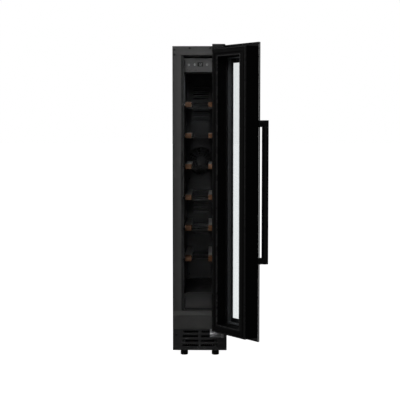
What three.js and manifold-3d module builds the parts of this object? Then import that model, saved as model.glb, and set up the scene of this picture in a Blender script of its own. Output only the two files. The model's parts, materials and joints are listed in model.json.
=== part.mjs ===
// Slim under-counter wine cooler with an open hinged glass door, in millimetres.
// +Z is up, the door side faces -Y, and the origin is the centre of the base plate's underside.
import * as THREE from 'three';
import { mergeVertices } from 'three/addons/utils/BufferGeometryUtils.js';
import Module from 'manifold-3d';

const wasm = await Module();
wasm.setup();

// ---- driving dimensions -------------------------------------------------
const CABINET_WIDTH = 148;
const CABINET_HEIGHT = 830; // without the feet
const CABINET_DEPTH = 475; // without the door
const SHEET = 1; // outer steel sheet
const SEAT_GAP = 0.3; // between pieces that touch
const PANEL_FLANGE = 14; // folded edge of a side panel

const FOOT_HEIGHT = 16;
const FOOT_PAD_RADIUS = 10.3;
const FOOT_STUD_RADIUS = 4;
const FOOT_STUD_RISE = 24; // stud above the base plate's underside
const FOOT_X = 43;
const FOOT_INSET = 25; // foot axis from the front and rear faces
const FOOT_COLLAR_RADIUS = 7;
const FOOT_COLLAR_HEIGHT = 3.5;
const FOOT_EDGE = 1; // rounding of the pad and the stud's tip
const BASE_THICKNESS = 2;

const FRAME_THICKNESS = 3;
const FRAME_SIDE = 23.6; // front flange width beside the opening
const FRAME_TOP = 24;
const FRAME_LIP = 12.4;
const FRAME_CORNER = 1.5;
const FRAME_RETURN_DEPTH = 4.7;
const FRAME_RETURN_WALL = 1.2;
const SPARE_HOLE_RADIUS = 2.1;
const SPARE_HOLE_SIDE = 5.3; // from the side of the cabinet
const SPARE_HOLE_DROPS = [9.1, 22.8]; // below the cabinet's top
const SPARE_HOLE_TOP_DROP = 5.2;
const SPARE_HOLE_TOP_X = [-27.1, 28];

const GRILLE_HEIGHT = 58.7;
const GRILLE_THICKNESS = 2.5;
const GRILLE_INSET = 0.7; // narrower than the cabinet on each side
const GRILLE_SLOT_HEIGHT = 6.2;
const GRILLE_SLOT_ROWS = 4;
const GRILLE_SLOT_PITCH = 12.6;
const GRILLE_SLOT_FIRST = 13.5; // middle of the lowest row
const GRILLE_SLOT_MARGIN = 26.6; // from the grille's ends
const GRILLE_RIB = 7.4; // upright between the two columns of slots
const GRILLE_SCREW_INSET = 9; // from the side of the cabinet
const GRILLE_SCREW_Z = 43.5;
const GRILLE_SCREW_RADIUS = 1.5;
const GRILLE_SCREW_HEAD_RADIUS = 3.2;
const GRILLE_SCREW_HEAD = 1.8;
const GRILLE_SCREW_LENGTH = 9;
const LOWER_PANEL_THICKNESS = 2;
const LOWER_PANEL_SETBACK = 0.6;
const LOWER_PANEL_HEIGHT = 37;

const CAVITY_WIDTH = 86; // clear width inside the liner
const LINER_SIDE_WALL = 6;
const LINER_WALL = 3; // ceiling, floor and back
const TRIM_SETBACK = 8; // breaker trim between the flange and the liner
const TRIM_DEPTH = 12;
const TRIM_LAP = 3; // hidden behind the flange, past its opening's edge
const LINER_DEPTH = 370; // liner's back wall, inner face
const STEP_DEPTH = 22.8; // where the floor steps up over the machine space
const STEP_HEIGHT = 45.3;
const FOAM_REAR = 434;
const FOAM_FLOOR = 20;
const FOAM_UNDERSIDE_DROP = 11.7; // below the opening's bottom edge

const COVER_SHEET = 2.5; // raised floor cover
const COVER_SIDE_GAP = 2.5; // to the liner's side walls
const COVER_SETBACK = 20;
const COVER_REAR = 299;
const COVER_FOOT_GAP = 5;

const SHELF_COUNT = 6;
const SHELF_PITCH = 85;
const LOWEST_SHELF = 248.5; // middle of the lowest rail
const SHELF_FRONT = 30;
const SHELF_REAR = 290;
const RAIL_WIDTH = 17.2;
const RAIL_HEIGHT = 13;
const RAIL_CHAMFER = 1.5;
const RAIL_WALL_CLEARANCE = 2.5;
const CAP_DEPTH = 40; // wooden cap on each rail's front end
const TONGUE_HEIGHT = 4;
const TONGUE_REACH = 4.5; // past the rail, into the liner's groove
const TONGUE_SETBACK = 4;
const GROOVE_CLEARANCE = 0.3;
const GROOVE_DEPTH = 3;
const GROOVE_REAR = 299;
const RAIL_SHEET = 1.5; // folded steel of the rails and cross bars
const SHELF_BAR_WIDTH = 14;
const SHELF_BAR_LAP = 0.3; // bars rise this far into the rails they are welded to
const SHELF_BAR_DEPTHS = [80, 170, 270];
const SHELF_BAR_INSET = 5; // bar ends short of the liner walls

const FASCIA_SETBACK = 20;
const FASCIA_THICKNESS = 2;
const FASCIA_DROP = 4; // below the liner's ceiling
const FASCIA_HEIGHT = 37.8;
const HOUSING_WALL = 1.5;
const HOUSING_DEPTH = 90;
const BOARD_THICKNESS = 1.6;
const BOARD_MARGIN = 4;
const LIGHT_SIDE_GAP = 13; // to the liner's side walls
const LIGHT_DEPTH = 14;
const LIGHT_THICKNESS = 1.6;
const LIGHT_SETBACK = 42;

const DUCT_COVER_DEPTH = 300;
const DUCT_COVER_THICKNESS = 2;
const DUCT_SLOT_MARGIN = 20.5; // to the liner's side walls
const DUCT_SLOT_HEIGHT = 5;
const DUCT_SLOT_PITCH = 12.6;
const DUCT_SLOT_GROUPS = [{ base: 630.5, count: 9 }, { base: 355.5, count: 6 }, { base: 291.5, count: 3 }];
const FAN_CENTRE = 512;
const FAN_GRILLE_MARGIN = 3; // openings to the liner's side walls
const FAN_GRILLE_HUB = 13;
const FAN_GRILLE_OPENINGS = 16;
const FAN_GRILLE_BAR = 3;
const FAN_FRAME_GAP = 0.5; // to the liner's side walls
const FAN_FRAME_DEPTH = 22;
const FAN_FRAME_WALL = 2.5;
const FAN_BLADE_CLEARANCE = 1.5;
const FAN_BLADES = 7;
const FAN_BLADE_PITCH = 50; // degrees
const FAN_BLADE_THICKNESS = 1.4;
const FAN_BLADE_CHORD = 0.8; // share of the longest that fits the rotor's length
const FAN_HUB = 0.17; // hub radius as a share of the frame's size
const FAN_BOSS = 0.18;
const FAN_STRUT_WIDTH = 4;
const FAN_STRUT_DEPTH = 3;
const FAN_CORNER = 4;
const FAN_ROTOR_SETBACK = 1;
const EVAPORATOR_HEIGHT = 250;
const EVAPORATOR_BASE = 200;
const EVAPORATOR_GAP = 5; // to the liner's side walls
const EVAPORATOR_THICKNESS = 34;
const EVAPORATOR_FINS = 14;
const FIN_THICKNESS = 1.4;
const FIN_SPINE = 8;

const CONDENSER_WIDTH = 112;
const CONDENSER_THICKNESS = 40;
const CONDENSER_HEIGHT = 112;
const CONDENSER_FINS = 20;
const CONDENSER_SETBACK = 55;
const CONDENSER_FAN_FRAME = 110;
const CONDENSER_FAN_DEPTH = 25;
const CONDENSER_FAN_SETBACK = 100;
const COMPRESSOR_RADIUS = 51;
const COMPRESSOR_HEIGHT = 112;
const COMPRESSOR_CENTRE_DEPTH = 385;
const COMPRESSOR_FOOT_WIDTH = 116;
const COMPRESSOR_FOOT_DEPTH = 84;
const COMPRESSOR_FOOT_THICKNESS = 3;
const GROMMET_HEIGHT = 5;
const GROMMET_RADIUS = 6;
const GROMMET_INSET = 8;
const STUB_RADIUS = 3.5;
const STUB_LENGTH = 14;
const STUB_X = 18;
const ELECTRONICS_SIZE = [104, 70, 46];
const ELECTRONICS_SETBACK = 205;
const ELECTRONICS_LID = 4;
const ELECTRONICS_LIP = 1.5;
const TRAY_SIZE = [116, 60, 14];
const TRAY_SETBACK = 135;
const TRAY_WALL = 1.5;
const INLET_SIZE = [28, 20]; // outside of the socket body
const INLET_FLANGE = [40, 28];
const INLET_FLANGE_THICKNESS = 2;
const INLET_WALL = 2;
const INLET_DEPTH = 18;
const INLET_PLACE = [-36, 40];
const INLET_PINS = [[-7, 2], [7, 2], [0, -3]];
const INLET_PIN_SETBACK = 7; // pin tips behind the flange
const VENT_ROWS = 5;
const VENT_PITCH = 11;
const VENT_BASE = 62;
const VENT_WIDTH = 84;
const VENT_HEIGHT = 4;

const DOOR_OPEN = 126.69; // degrees from closed
const DOOR_GAP = 2; // closed door to the front flange
const DOOR_THICKNESS = 48;
const DOOR_GLASS = 4;
const DOOR_GLASS_TOP = 1.2; // above the cabinet's top
const DOOR_GLASS_BOTTOM = 49;
const DOOR_GLASS_CORNER = 2;
const DOOR_BODY_TOP_DROP = 11.2; // body below the top of the outer glass
const DOOR_BODY_BOTTOM_RISE = 11.4;
const DOOR_BODY_HINGE_INSET = 3.4;
const DOOR_BODY_FREE_INSET = 1.9;
const DOOR_BORDER_HINGE = 22.6; // body edge to window opening
const DOOR_BORDER_FREE = 24.1;
const DOOR_BORDER_END = 21.3;
const DOOR_REBATE = 4;
const GLASS_UNIT = 16; // outer face to the inner pane's room-side face
const INNER_PANE = 3.5;
const SPACER_WIDTH = 9;
const GASKET_INSET = 5; // from the body's edge
const GASKET_WIDTH = 10;
const GASKET_GROOVE = 4;
const PIVOT_INSET = 11.8; // hinge axis from the door's hinge edge
const PIVOT_DEPTH = 18; // hinge axis behind the door's outer face
const PIN_RADIUS = 2.5;
const PIN_CLEARANCE = 0.3;
const PIN_HEAD_RADIUS = 4.2;
const PIN_HEAD = 1.6;
const PIN_REACH = 18; // pin inside the door body
const PIN_TIP = 0.7; // chamfer of a pin's tip
const PIN_BORE_SPARE = 2; // bore deeper than the pin
const BRACKET_THICKNESS = 2.5;
const BRACKET_NOSE = 4.9;
const BRACKET_RIGHT = PIVOT_INSET + 0.7; // plate's right edge from the side of the cabinet
const BRACKET_FRONT = 37; // plate's front edge before the cabinet
const BRACKET_CLEARANCE = 0.5; // upper plate above the door body
const TOP_BRACKET_LEFT = 35.5;
const TOP_BRACKET_LEG = 7;
const BOTTOM_BRACKET_LEFT = 27.8;
const BOTTOM_BRACKET_Z = 45.8; // top of the lower bracket's plate
const BOTTOM_BRACKET_LEG = 13.4;
const HINGE_COVER_LEFT = 33.7;
const HINGE_COVER_RISE = 2.9; // above the cabinet's top
const HINGE_COVER_WALL = 1.2;
const HINGE_COVER_NOSE = 6.4;
const HINGE_COVER_NOSE_GAP = 0.8; // bracket to cover along the front

const HANDLE_RADIUS = 9;
const HANDLE_LENGTH = 379;
const HANDLE_BOTTOM = 250.6;
const HANDLE_STANDOFF = 32; // bar's axis before the glass
const HANDLE_LEG_RADIUS = 8.95;
const HANDLE_INSET = 18; // bar's axis from the door's free edge

// ---- derived places -----------------------------------------------------
const HALF_WIDTH = CABINET_WIDTH / 2;
const FRONT = -CABINET_DEPTH / 2;
const BACK = CABINET_DEPTH / 2;
const INSIDE_X = HALF_WIDTH - SHEET - SEAT_GAP;
const PANEL_TOP = CABINET_HEIGHT - SHEET - SEAT_GAP;
const FLOOR_TOP = BASE_THICKNESS + SEAT_GAP;
const PANEL_FRONT = FRONT + FRAME_THICKNESS + SEAT_GAP;
const REAR_FACE = BACK - SHEET - SEAT_GAP;
const OPENING_X = HALF_WIDTH - FRAME_SIDE;
const OPENING_TOP = CABINET_HEIGHT - FRAME_TOP;
const FRAME_BOTTOM = GRILLE_HEIGHT + SEAT_GAP + LOWER_PANEL_HEIGHT + SEAT_GAP;
const OPENING_BOTTOM = FRAME_BOTTOM + FRAME_LIP;
const CAVITY_X = CAVITY_WIDTH / 2;
const LINER_X = CAVITY_X + LINER_SIDE_WALL;
const LINER_FRONT = FRONT + TRIM_SETBACK + TRIM_DEPTH + SEAT_GAP;
const CEILING = OPENING_TOP - LINER_WALL;
const FAN_GRILLE_RADIUS = CAVITY_X - FAN_GRILLE_MARGIN;
const FAN_FRAME = CAVITY_WIDTH - 2 * FAN_FRAME_GAP;
const GRILLE_SCREW_X = GRILLE_SCREW_INSET - HALF_WIDTH;
const RAISED_FLOOR = OPENING_BOTTOM + STEP_HEIGHT;
const COVER_TOP = RAISED_FLOOR + SEAT_GAP + COVER_SHEET;
const RAIL_OUTER_X = CAVITY_X - RAIL_WALL_CLEARANCE;
const RAIL_INNER_X = RAIL_OUTER_X - RAIL_WIDTH;
const FASCIA_TOP = CEILING - FASCIA_DROP;
const FASCIA_BOTTOM = FASCIA_TOP - FASCIA_HEIGHT;
const PIVOT_X = HALF_WIDTH - PIVOT_INSET;
const PIVOT_Y = FRONT - DOOR_GAP - DOOR_THICKNESS + PIVOT_DEPTH;
const GLASS_TOP = CABINET_HEIGHT + DOOR_GLASS_TOP;
const BODY_TOP = GLASS_TOP - DOOR_BODY_TOP_DROP;
const BODY_BOTTOM = DOOR_GLASS_BOTTOM + DOOR_BODY_BOTTOM_RISE;
const TOP_BRACKET_Z = BODY_TOP + BRACKET_CLEARANCE; // underside of the upper bracket's plate

// ---- colours --------------------------------------------------------------
const FINISHES = {
  cabinet: { color: 0x3b3b3b, roughness: 0.5, metalness: 0.4 },
  grille: { color: 0x2a2a2a, roughness: 0.6, metalness: 0 },
  liner: { color: 0x161616, roughness: 0.6, metalness: 0 },
  fascia: { color: 0x3c3c3c, roughness: 0.3, metalness: 0 },
  wood: { color: 0x7a4a2a, roughness: 0.6, metalness: 0 },
  steel: { color: 0xb0b0b0, roughness: 0.35, metalness: 1 },
  black: { color: 0x101010, roughness: 0.5, metalness: 0 },
  rubber: { color: 0x0c0c0c, roughness: 0.9, metalness: 0 },
  glass: { color: 0x9fb0b0, roughness: 0.05, metalness: 0 },
  darkGlass: { color: 0x060606, roughness: 0.05, metalness: 0 },
  doorBody: { color: 0x0e0e0e, roughness: 0.45, metalness: 0 },
  handle: { color: 0x1c1c1c, roughness: 0.3, metalness: 0.8 },
  foam: { color: 0xd8c890, roughness: 0.9, metalness: 0 },
  aluminium: { color: 0xc4c6c8, roughness: 0.4, metalness: 1 },
  board: { color: 0x1c4a2c, roughness: 0.6, metalness: 0 },
  light: { color: 0xf0f4ff, roughness: 0.3, metalness: 0 },
};

// ---- shape helpers --------------------------------------------------------
function block(x0, x1, y0, y1, z0, z1) {
  const geometry = new THREE.BoxGeometry(x1 - x0, y1 - y0, z1 - z0);
  return geometry.translate((x0 + x1) / 2, (y0 + y1) / 2, (z0 + z1) / 2);
}

function outline(points) {
  return new THREE.Shape(points.map(([a, b]) => new THREE.Vector2(a, b)));
}

function traceRounded(path, a0, a1, b0, b1, radius) {
  path.moveTo(a0 + radius, b0);
  path.lineTo(a1 - radius, b0);
  path.absarc(a1 - radius, b0 + radius, radius, -Math.PI / 2, 0);
  path.lineTo(a1, b1 - radius);
  path.absarc(a1 - radius, b1 - radius, radius, 0, Math.PI / 2);
  path.lineTo(a0 + radius, b1);
  path.absarc(a0 + radius, b1 - radius, radius, Math.PI / 2, Math.PI);
  path.lineTo(a0, b0 + radius);
  path.absarc(a0 + radius, b0 + radius, radius, Math.PI, Math.PI * 1.5);
  return path;
}

function roundedShape(a0, a1, b0, b1, radius) {
  return traceRounded(new THREE.Shape(), a0, a1, b0, b1, radius);
}

function roundedHole(a0, a1, b0, b1, radius) {
  return traceRounded(new THREE.Path(), a0, a1, b0, b1, radius);
}

function roundHole(a, b, radius) {
  return new THREE.Path().absarc(a, b, radius, 0, Math.PI * 2, true);
}

function extrude(shape, length, curveSegments = 4) {
  return new THREE.ExtrudeGeometry(shape, { depth: length, bevelEnabled: false, curveSegments });
}

// A shape drawn in X and Z, running from y0 to y1.
function alongY(shape, y0, y1, curveSegments) {
  return extrude(shape, y1 - y0, curveSegments).rotateX(Math.PI / 2).translate(0, y1, 0);
}

// A shape drawn in Y and Z, running from x0 to x1.
function alongX(shape, x0, x1, curveSegments) {
  const turn = new THREE.Matrix4().makeBasis(
    new THREE.Vector3(0, 1, 0), new THREE.Vector3(0, 0, 1), new THREE.Vector3(1, 0, 0));
  return extrude(shape, x1 - x0, curveSegments).applyMatrix4(turn).translate(x0, 0, 0);
}

// A shape drawn in X and Y, running from z0 to z1.
function alongZ(shape, z0, z1, curveSegments) {
  return extrude(shape, z1 - z0, curveSegments).translate(0, 0, z0);
}

// A profile of radius and height, turned about the Z axis.
function turned(profile, segments = 24) {
  const points = profile.map(([r, z]) => new THREE.Vector2(r, z));
  return new THREE.LatheGeometry(points, segments).rotateX(Math.PI / 2);
}

function rod(radius, length, segments = 20) {
  return turned([[0, 0], [radius, 0], [radius, length], [0, length]], segments);
}

function toSolid(geometry) {
  const bare = geometry.index ? geometry.clone() : geometry;
  bare.deleteAttribute('normal');
  bare.deleteAttribute('uv');
  const merged = mergeVertices(bare, 1e-4);
  return new wasm.Manifold(new wasm.Mesh({
    numProp: 3,
    vertProperties: new Float32Array(merged.attributes.position.array),
    triVerts: new Uint32Array(merged.index.array),
  }));
}

function toGeometry(solid) {
  const mesh = solid.getMesh();
  const geometry = new THREE.BufferGeometry();
  geometry.setAttribute('position', new THREE.BufferAttribute(mesh.vertProperties, 3));
  geometry.setIndex(new THREE.BufferAttribute(mesh.triVerts, 1));
  geometry.computeVertexNormals();
  return geometry;
}

function cut(geometry, ...tools) {
  return toGeometry(tools.reduce((solid, tool) => solid.subtract(toSolid(tool)), toSolid(geometry)));
}

function join(geometry, ...others) {
  return toGeometry(others.reduce((solid, other) => solid.add(toSolid(other)), toSolid(geometry)));
}

function piece(name, geometry, finish) {
  const mesh = new THREE.Mesh(geometry, new THREE.MeshStandardMaterial(FINISHES[finish]));
  mesh.name = name;
  return mesh;
}

// ---- outer cabinet --------------------------------------------------------
function sidePanel(side) {
  const face = side * HALF_WIDTH;
  const inner = side * (HALF_WIDTH - SHEET);
  const flange = side * (HALF_WIDTH - PANEL_FLANGE);
  const points = [
    [face, PANEL_FRONT], [face, BACK], [flange, BACK], [flange, BACK - SHEET],
    [inner, BACK - SHEET], [inner, PANEL_FRONT + SHEET], [flange, PANEL_FRONT + SHEET],
    [flange, PANEL_FRONT],
  ];
  const sheet = alongZ(outline(side > 0 ? points : points.reverse()), 0, PANEL_TOP);
  return cut(sheet, screwHole(-side * GRILLE_SCREW_X));
}

// A tool for the grille screw's hole through the grille and the side panel's flange.
function screwHole(x) {
  const length = PANEL_FRONT + SHEET * 2 - FRONT;
  return rod(GRILLE_SCREW_RADIUS + PIN_CLEARANCE, length + 1, 16)
    .rotateX(Math.PI / 2).translate(x, FRONT + length, GRILLE_SCREW_Z);
}

function topPanel() {
  return block(-HALF_WIDTH, HALF_WIDTH, PANEL_FRONT, BACK, CABINET_HEIGHT - SHEET, CABINET_HEIGHT);
}

function rearPanel() {
  const shape = outline([
    [-INSIDE_X, FLOOR_TOP], [INSIDE_X, FLOOR_TOP], [INSIDE_X, PANEL_TOP], [-INSIDE_X, PANEL_TOP]]);
  for (let row = 0; row < VENT_ROWS; row += 1) {
    const z = VENT_BASE + row * VENT_PITCH;
    shape.holes.push(roundedHole(-VENT_WIDTH / 2, VENT_WIDTH / 2, z, z + VENT_HEIGHT, VENT_HEIGHT / 3));
  }
  const [x, z] = INLET_PLACE;
  const halfWidth = INLET_SIZE[0] / 2 + SEAT_GAP;
  const halfHeight = INLET_SIZE[1] / 2 + SEAT_GAP;
  shape.holes.push(roundedHole(x - halfWidth, x + halfWidth, z - halfHeight, z + halfHeight, 1));
  return alongY(shape, REAR_FACE - SHEET, REAR_FACE, 1);
}

function footPlaces() {
  const depth = CABINET_DEPTH / 2 - FOOT_INSET;
  return [
    ['foot_front_left', -FOOT_X, -depth], ['foot_front_right', FOOT_X, -depth],
    ['foot_rear_left', -FOOT_X, depth], ['foot_rear_right', FOOT_X, depth],
  ];
}

function basePlate() {
  const shape = outline([
    [-INSIDE_X, PANEL_FRONT + SHEET + SEAT_GAP], [INSIDE_X, PANEL_FRONT + SHEET + SEAT_GAP],
    [INSIDE_X, REAR_FACE], [-INSIDE_X, REAR_FACE]]);
  for (const [, x, y] of footPlaces()) {
    shape.holes.push(roundHole(x, y, FOOT_STUD_RADIUS + PIN_CLEARANCE));
  }
  return alongZ(shape, 0, BASE_THICKNESS, 6);
}

function foot() {
  const pad = FOOT_PAD_RADIUS;
  const padTop = -FOOT_COLLAR_HEIGHT;
  return turned([
    [0, -FOOT_HEIGHT], [pad - FOOT_EDGE, -FOOT_HEIGHT], [pad, FOOT_EDGE - FOOT_HEIGHT],
    [pad, padTop - FOOT_EDGE], [pad - FOOT_EDGE, padTop], [FOOT_COLLAR_RADIUS, padTop],
    [FOOT_COLLAR_RADIUS, -SEAT_GAP], [FOOT_STUD_RADIUS, -SEAT_GAP],
    [FOOT_STUD_RADIUS, FOOT_STUD_RISE - FOOT_EDGE], [FOOT_STUD_RADIUS - FOOT_EDGE, FOOT_STUD_RISE],
    [0, FOOT_STUD_RISE],
  ], 20);
}

function frontFrame() {
  const plate = outline([
    [-HALF_WIDTH, FRAME_BOTTOM], [HALF_WIDTH, FRAME_BOTTOM],
    [HALF_WIDTH, CABINET_HEIGHT], [-HALF_WIDTH, CABINET_HEIGHT]]);
  plate.holes.push(roundedHole(-OPENING_X, OPENING_X, OPENING_BOTTOM, OPENING_TOP, FRAME_CORNER));
  for (const drop of SPARE_HOLE_DROPS) {
    plate.holes.push(roundHole(SPARE_HOLE_SIDE - HALF_WIDTH, CABINET_HEIGHT - drop, SPARE_HOLE_RADIUS));
  }
  for (const x of SPARE_HOLE_TOP_X) {
    plate.holes.push(roundHole(x, CABINET_HEIGHT - SPARE_HOLE_TOP_DROP, SPARE_HOLE_RADIUS));
  }
  const wall = FRAME_RETURN_WALL;
  const ring = roundedShape(
    -OPENING_X - wall, OPENING_X + wall, OPENING_BOTTOM - wall, OPENING_TOP + wall, FRAME_CORNER + wall);
  ring.holes.push(roundedHole(-OPENING_X, OPENING_X, OPENING_BOTTOM, OPENING_TOP, FRAME_CORNER));
  const ringFront = FRONT + FRAME_THICKNESS / 2;
  const ringBack = FRONT + FRAME_THICKNESS + FRAME_RETURN_DEPTH;
  return join(alongY(plate, FRONT, FRONT + FRAME_THICKNESS, 5), alongY(ring, ringFront, ringBack, 5));
}

function lowerFrontPanel() {
  const y = FRONT + LOWER_PANEL_SETBACK;
  const bottom = GRILLE_HEIGHT + SEAT_GAP;
  return block(-HALF_WIDTH, HALF_WIDTH, y, y + LOWER_PANEL_THICKNESS, bottom, bottom + LOWER_PANEL_HEIGHT);
}

function toeGrille() {
  const x = HALF_WIDTH - GRILLE_INSET;
  const shape = outline([[-x, 0], [x, 0], [x, GRILLE_HEIGHT], [-x, GRILLE_HEIGHT]]);
  const columns = [[GRILLE_SLOT_MARGIN - x, -GRILLE_RIB / 2], [GRILLE_RIB / 2, x - GRILLE_SLOT_MARGIN]];
  for (let row = 0; row < GRILLE_SLOT_ROWS; row += 1) {
    const z = GRILLE_SLOT_FIRST + row * GRILLE_SLOT_PITCH - GRILLE_SLOT_HEIGHT / 2;
    for (const [x0, x1] of columns) {
      shape.holes.push(roundedHole(x0, x1, z, z + GRILLE_SLOT_HEIGHT, GRILLE_SLOT_HEIGHT / 3));
    }
  }
  return cut(alongY(shape, FRONT, FRONT + GRILLE_THICKNESS, 1), screwHole(GRILLE_SCREW_X));
}

function grilleScrew() {
  const head = GRILLE_SCREW_HEAD_RADIUS;
  return turned([
    [0, -GRILLE_SCREW_LENGTH], [GRILLE_SCREW_RADIUS, -GRILLE_SCREW_LENGTH], [GRILLE_SCREW_RADIUS, SEAT_GAP],
    [head, SEAT_GAP], [head, GRILLE_SCREW_HEAD / 2], [head / 2, GRILLE_SCREW_HEAD], [0, GRILLE_SCREW_HEAD],
  ], 16).rotateX(Math.PI / 2).translate(GRILLE_SCREW_X, FRONT, GRILLE_SCREW_Z);
}

// ---- liner, foam and raised floor -------------------------------------------
// The stepped side outline of the liner's cavity, grown outward by a margin.
function cavityOutline(front, rear, margin) {
  return outline([
    [front, OPENING_BOTTOM - margin], [FRONT + STEP_DEPTH + margin, OPENING_BOTTOM - margin],
    [FRONT + STEP_DEPTH + margin, RAISED_FLOOR - margin], [rear + margin, RAISED_FLOOR - margin],
    [rear + margin, CEILING + margin], [front, CEILING + margin],
  ]);
}

function shelfHeights() {
  return Array.from({ length: SHELF_COUNT }, (_, i) => LOWEST_SHELF + (SHELF_COUNT - 1 - i) * SHELF_PITCH);
}

// Room for the shelves' tongues, from a front plane to the grooves' rear ends.
function shelfGrooves(front) {
  const x = CAVITY_X + GROOVE_DEPTH;
  const half = TONGUE_HEIGHT / 2 + GROOVE_CLEARANCE;
  return shelfHeights().map((z) => block(-x, x, front, FRONT + GROOVE_REAR, z - half, z + half));
}

function innerLiner() {
  const rear = FRONT + LINER_DEPTH;
  const shell = alongX(cavityOutline(LINER_FRONT, rear, LINER_WALL), -LINER_X, LINER_X);
  const cavity = alongX(cavityOutline(LINER_FRONT - 1, rear, 0), -CAVITY_X, CAVITY_X);
  return cut(shell, cavity, ...shelfGrooves(LINER_FRONT - 1));
}

// A frame that carries the liner's walls forward and laps behind the flange.
function breakerTrim() {
  const x = OPENING_X + TRIM_LAP;
  const bottom = OPENING_BOTTOM - TRIM_LAP;
  const top = OPENING_TOP + TRIM_LAP;
  const shape = outline([[-x, bottom], [x, bottom], [x, top], [-x, top]]);
  const hole = [
    [-CAVITY_X, OPENING_BOTTOM], [-CAVITY_X, CEILING], [CAVITY_X, CEILING], [CAVITY_X, OPENING_BOTTOM]];
  shape.holes.push(new THREE.Path(hole.map(([a, b]) => new THREE.Vector2(a, b))));
  const front = FRONT + TRIM_SETBACK;
  return cut(alongY(shape, front, front + TRIM_DEPTH, 1), ...shelfGrooves(front - 1));
}

function insulationFoam() {
  const front = FRONT + TRIM_SETBACK;
  const bottom = OPENING_BOTTOM - FOAM_UNDERSIDE_DROP;
  const raised = RAISED_FLOOR - LINER_WALL - FOAM_FLOOR;
  const stepRear = FRONT + STEP_DEPTH + LINER_WALL + FOAM_FLOOR;
  const side = outline([
    [front, bottom], [stepRear, bottom], [stepRear, raised], [FRONT + FOAM_REAR, raised],
    [FRONT + FOAM_REAR, PANEL_TOP], [front, PANEL_TOP]]);
  const room = LINER_X + SEAT_GAP;
  const hollow = cavityOutline(front - 1, FRONT + LINER_DEPTH, LINER_WALL + SEAT_GAP);
  const trimX = OPENING_X + TRIM_LAP + SEAT_GAP;
  const trim = block(-trimX, trimX, front - 1, LINER_FRONT,
    OPENING_BOTTOM - TRIM_LAP - SEAT_GAP, OPENING_TOP + TRIM_LAP + SEAT_GAP);
  return cut(alongX(side, -INSIDE_X, INSIDE_X), alongX(hollow, -room, room), trim);
}

function floorCover() {
  const front = FRONT + COVER_SETBACK;
  const rear = FRONT + COVER_REAR;
  const shape = outline([
    [front, OPENING_BOTTOM + COVER_FOOT_GAP], [front + COVER_SHEET, OPENING_BOTTOM + COVER_FOOT_GAP],
    [front + COVER_SHEET, COVER_TOP - COVER_SHEET], [rear, COVER_TOP - COVER_SHEET],
    [rear, COVER_TOP], [front, COVER_TOP]]);
  return alongX(shape, COVER_SIDE_GAP - CAVITY_X, CAVITY_X - COVER_SIDE_GAP);
}

// ---- control unit -------------------------------------------------------------
function controlFascia() {
  const x = CAVITY_X - SEAT_GAP;
  const shape = roundedShape(-x, x, FASCIA_BOTTOM, FASCIA_TOP, 2);
  const y = FRONT + FASCIA_SETBACK;
  return alongY(shape, y, y + FASCIA_THICKNESS, 3);
}

function controlHousing() {
  const x = CAVITY_X - SEAT_GAP;
  const y0 = FRONT + FASCIA_SETBACK + FASCIA_THICKNESS + SEAT_GAP;
  const y1 = y0 + HOUSING_DEPTH;
  const outer = block(-x, x, y0, y1, FASCIA_BOTTOM, CEILING - SEAT_GAP);
  const wall = HOUSING_WALL;
  const inner = block(-x + wall, x - wall, y0 - 1, y1 - wall, FASCIA_BOTTOM + wall, CEILING + 1);
  return cut(outer, inner);
}

function controlBoard() {
  const x = CAVITY_X - SEAT_GAP - HOUSING_WALL - BOARD_MARGIN;
  const y = FRONT + FASCIA_SETBACK + FASCIA_THICKNESS + SEAT_GAP;
  return block(-x, x, y, y + BOARD_THICKNESS, FASCIA_BOTTOM + BOARD_MARGIN, FASCIA_TOP - BOARD_MARGIN);
}

function interiorLight() {
  const y = FRONT + LIGHT_SETBACK;
  const top = FASCIA_BOTTOM - SEAT_GAP;
  const x = CAVITY_X - LIGHT_SIDE_GAP;
  const shape = roundedShape(-x, x, y, y + LIGHT_DEPTH, LIGHT_DEPTH / 3);
  return alongZ(shape, top - LIGHT_THICKNESS, top, 3);
}

// ---- air duct and evaporator -------------------------------------------------
function fanOpening(index) {
  const middle = (index + 0.5) * (2 * Math.PI / FAN_GRILLE_OPENINGS);
  const halfOuter = Math.PI / FAN_GRILLE_OPENINGS - FAN_GRILLE_BAR / 2 / FAN_GRILLE_RADIUS;
  const halfInner = Math.PI / FAN_GRILLE_OPENINGS - FAN_GRILLE_BAR / 2 / FAN_GRILLE_HUB;
  const path = new THREE.Path();
  path.absarc(0, FAN_CENTRE, FAN_GRILLE_RADIUS, middle - halfOuter, middle + halfOuter, false);
  path.absarc(0, FAN_CENTRE, FAN_GRILLE_HUB, middle + halfInner, middle - halfInner, true);
  path.closePath();
  return path;
}

function rearDuctCover() {
  const x = CAVITY_X - SEAT_GAP;
  const bottom = COVER_TOP + SEAT_GAP;
  const top = CEILING - SEAT_GAP;
  const shape = outline([[-x, bottom], [x, bottom], [x, top], [-x, top]]);
  const half = CAVITY_X - DUCT_SLOT_MARGIN;
  for (const { base, count } of DUCT_SLOT_GROUPS) {
    for (let i = 0; i < count; i += 1) {
      const z = base + i * DUCT_SLOT_PITCH;
      shape.holes.push(roundedHole(-half, half, z, z + DUCT_SLOT_HEIGHT, DUCT_SLOT_HEIGHT / 3));
    }
  }
  for (let i = 0; i < FAN_GRILLE_OPENINGS; i += 1) {
    shape.holes.push(fanOpening(i));
  }
  const y = FRONT + DUCT_COVER_DEPTH;
  return alongY(shape, y, y + DUCT_COVER_THICKNESS, 1);
}

function boreRadius(size) {
  return size / 2 - FAN_FRAME_WALL;
}

function rotorRadius(size) {
  return boreRadius(size) - FAN_BLADE_CLEARANCE;
}

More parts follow.
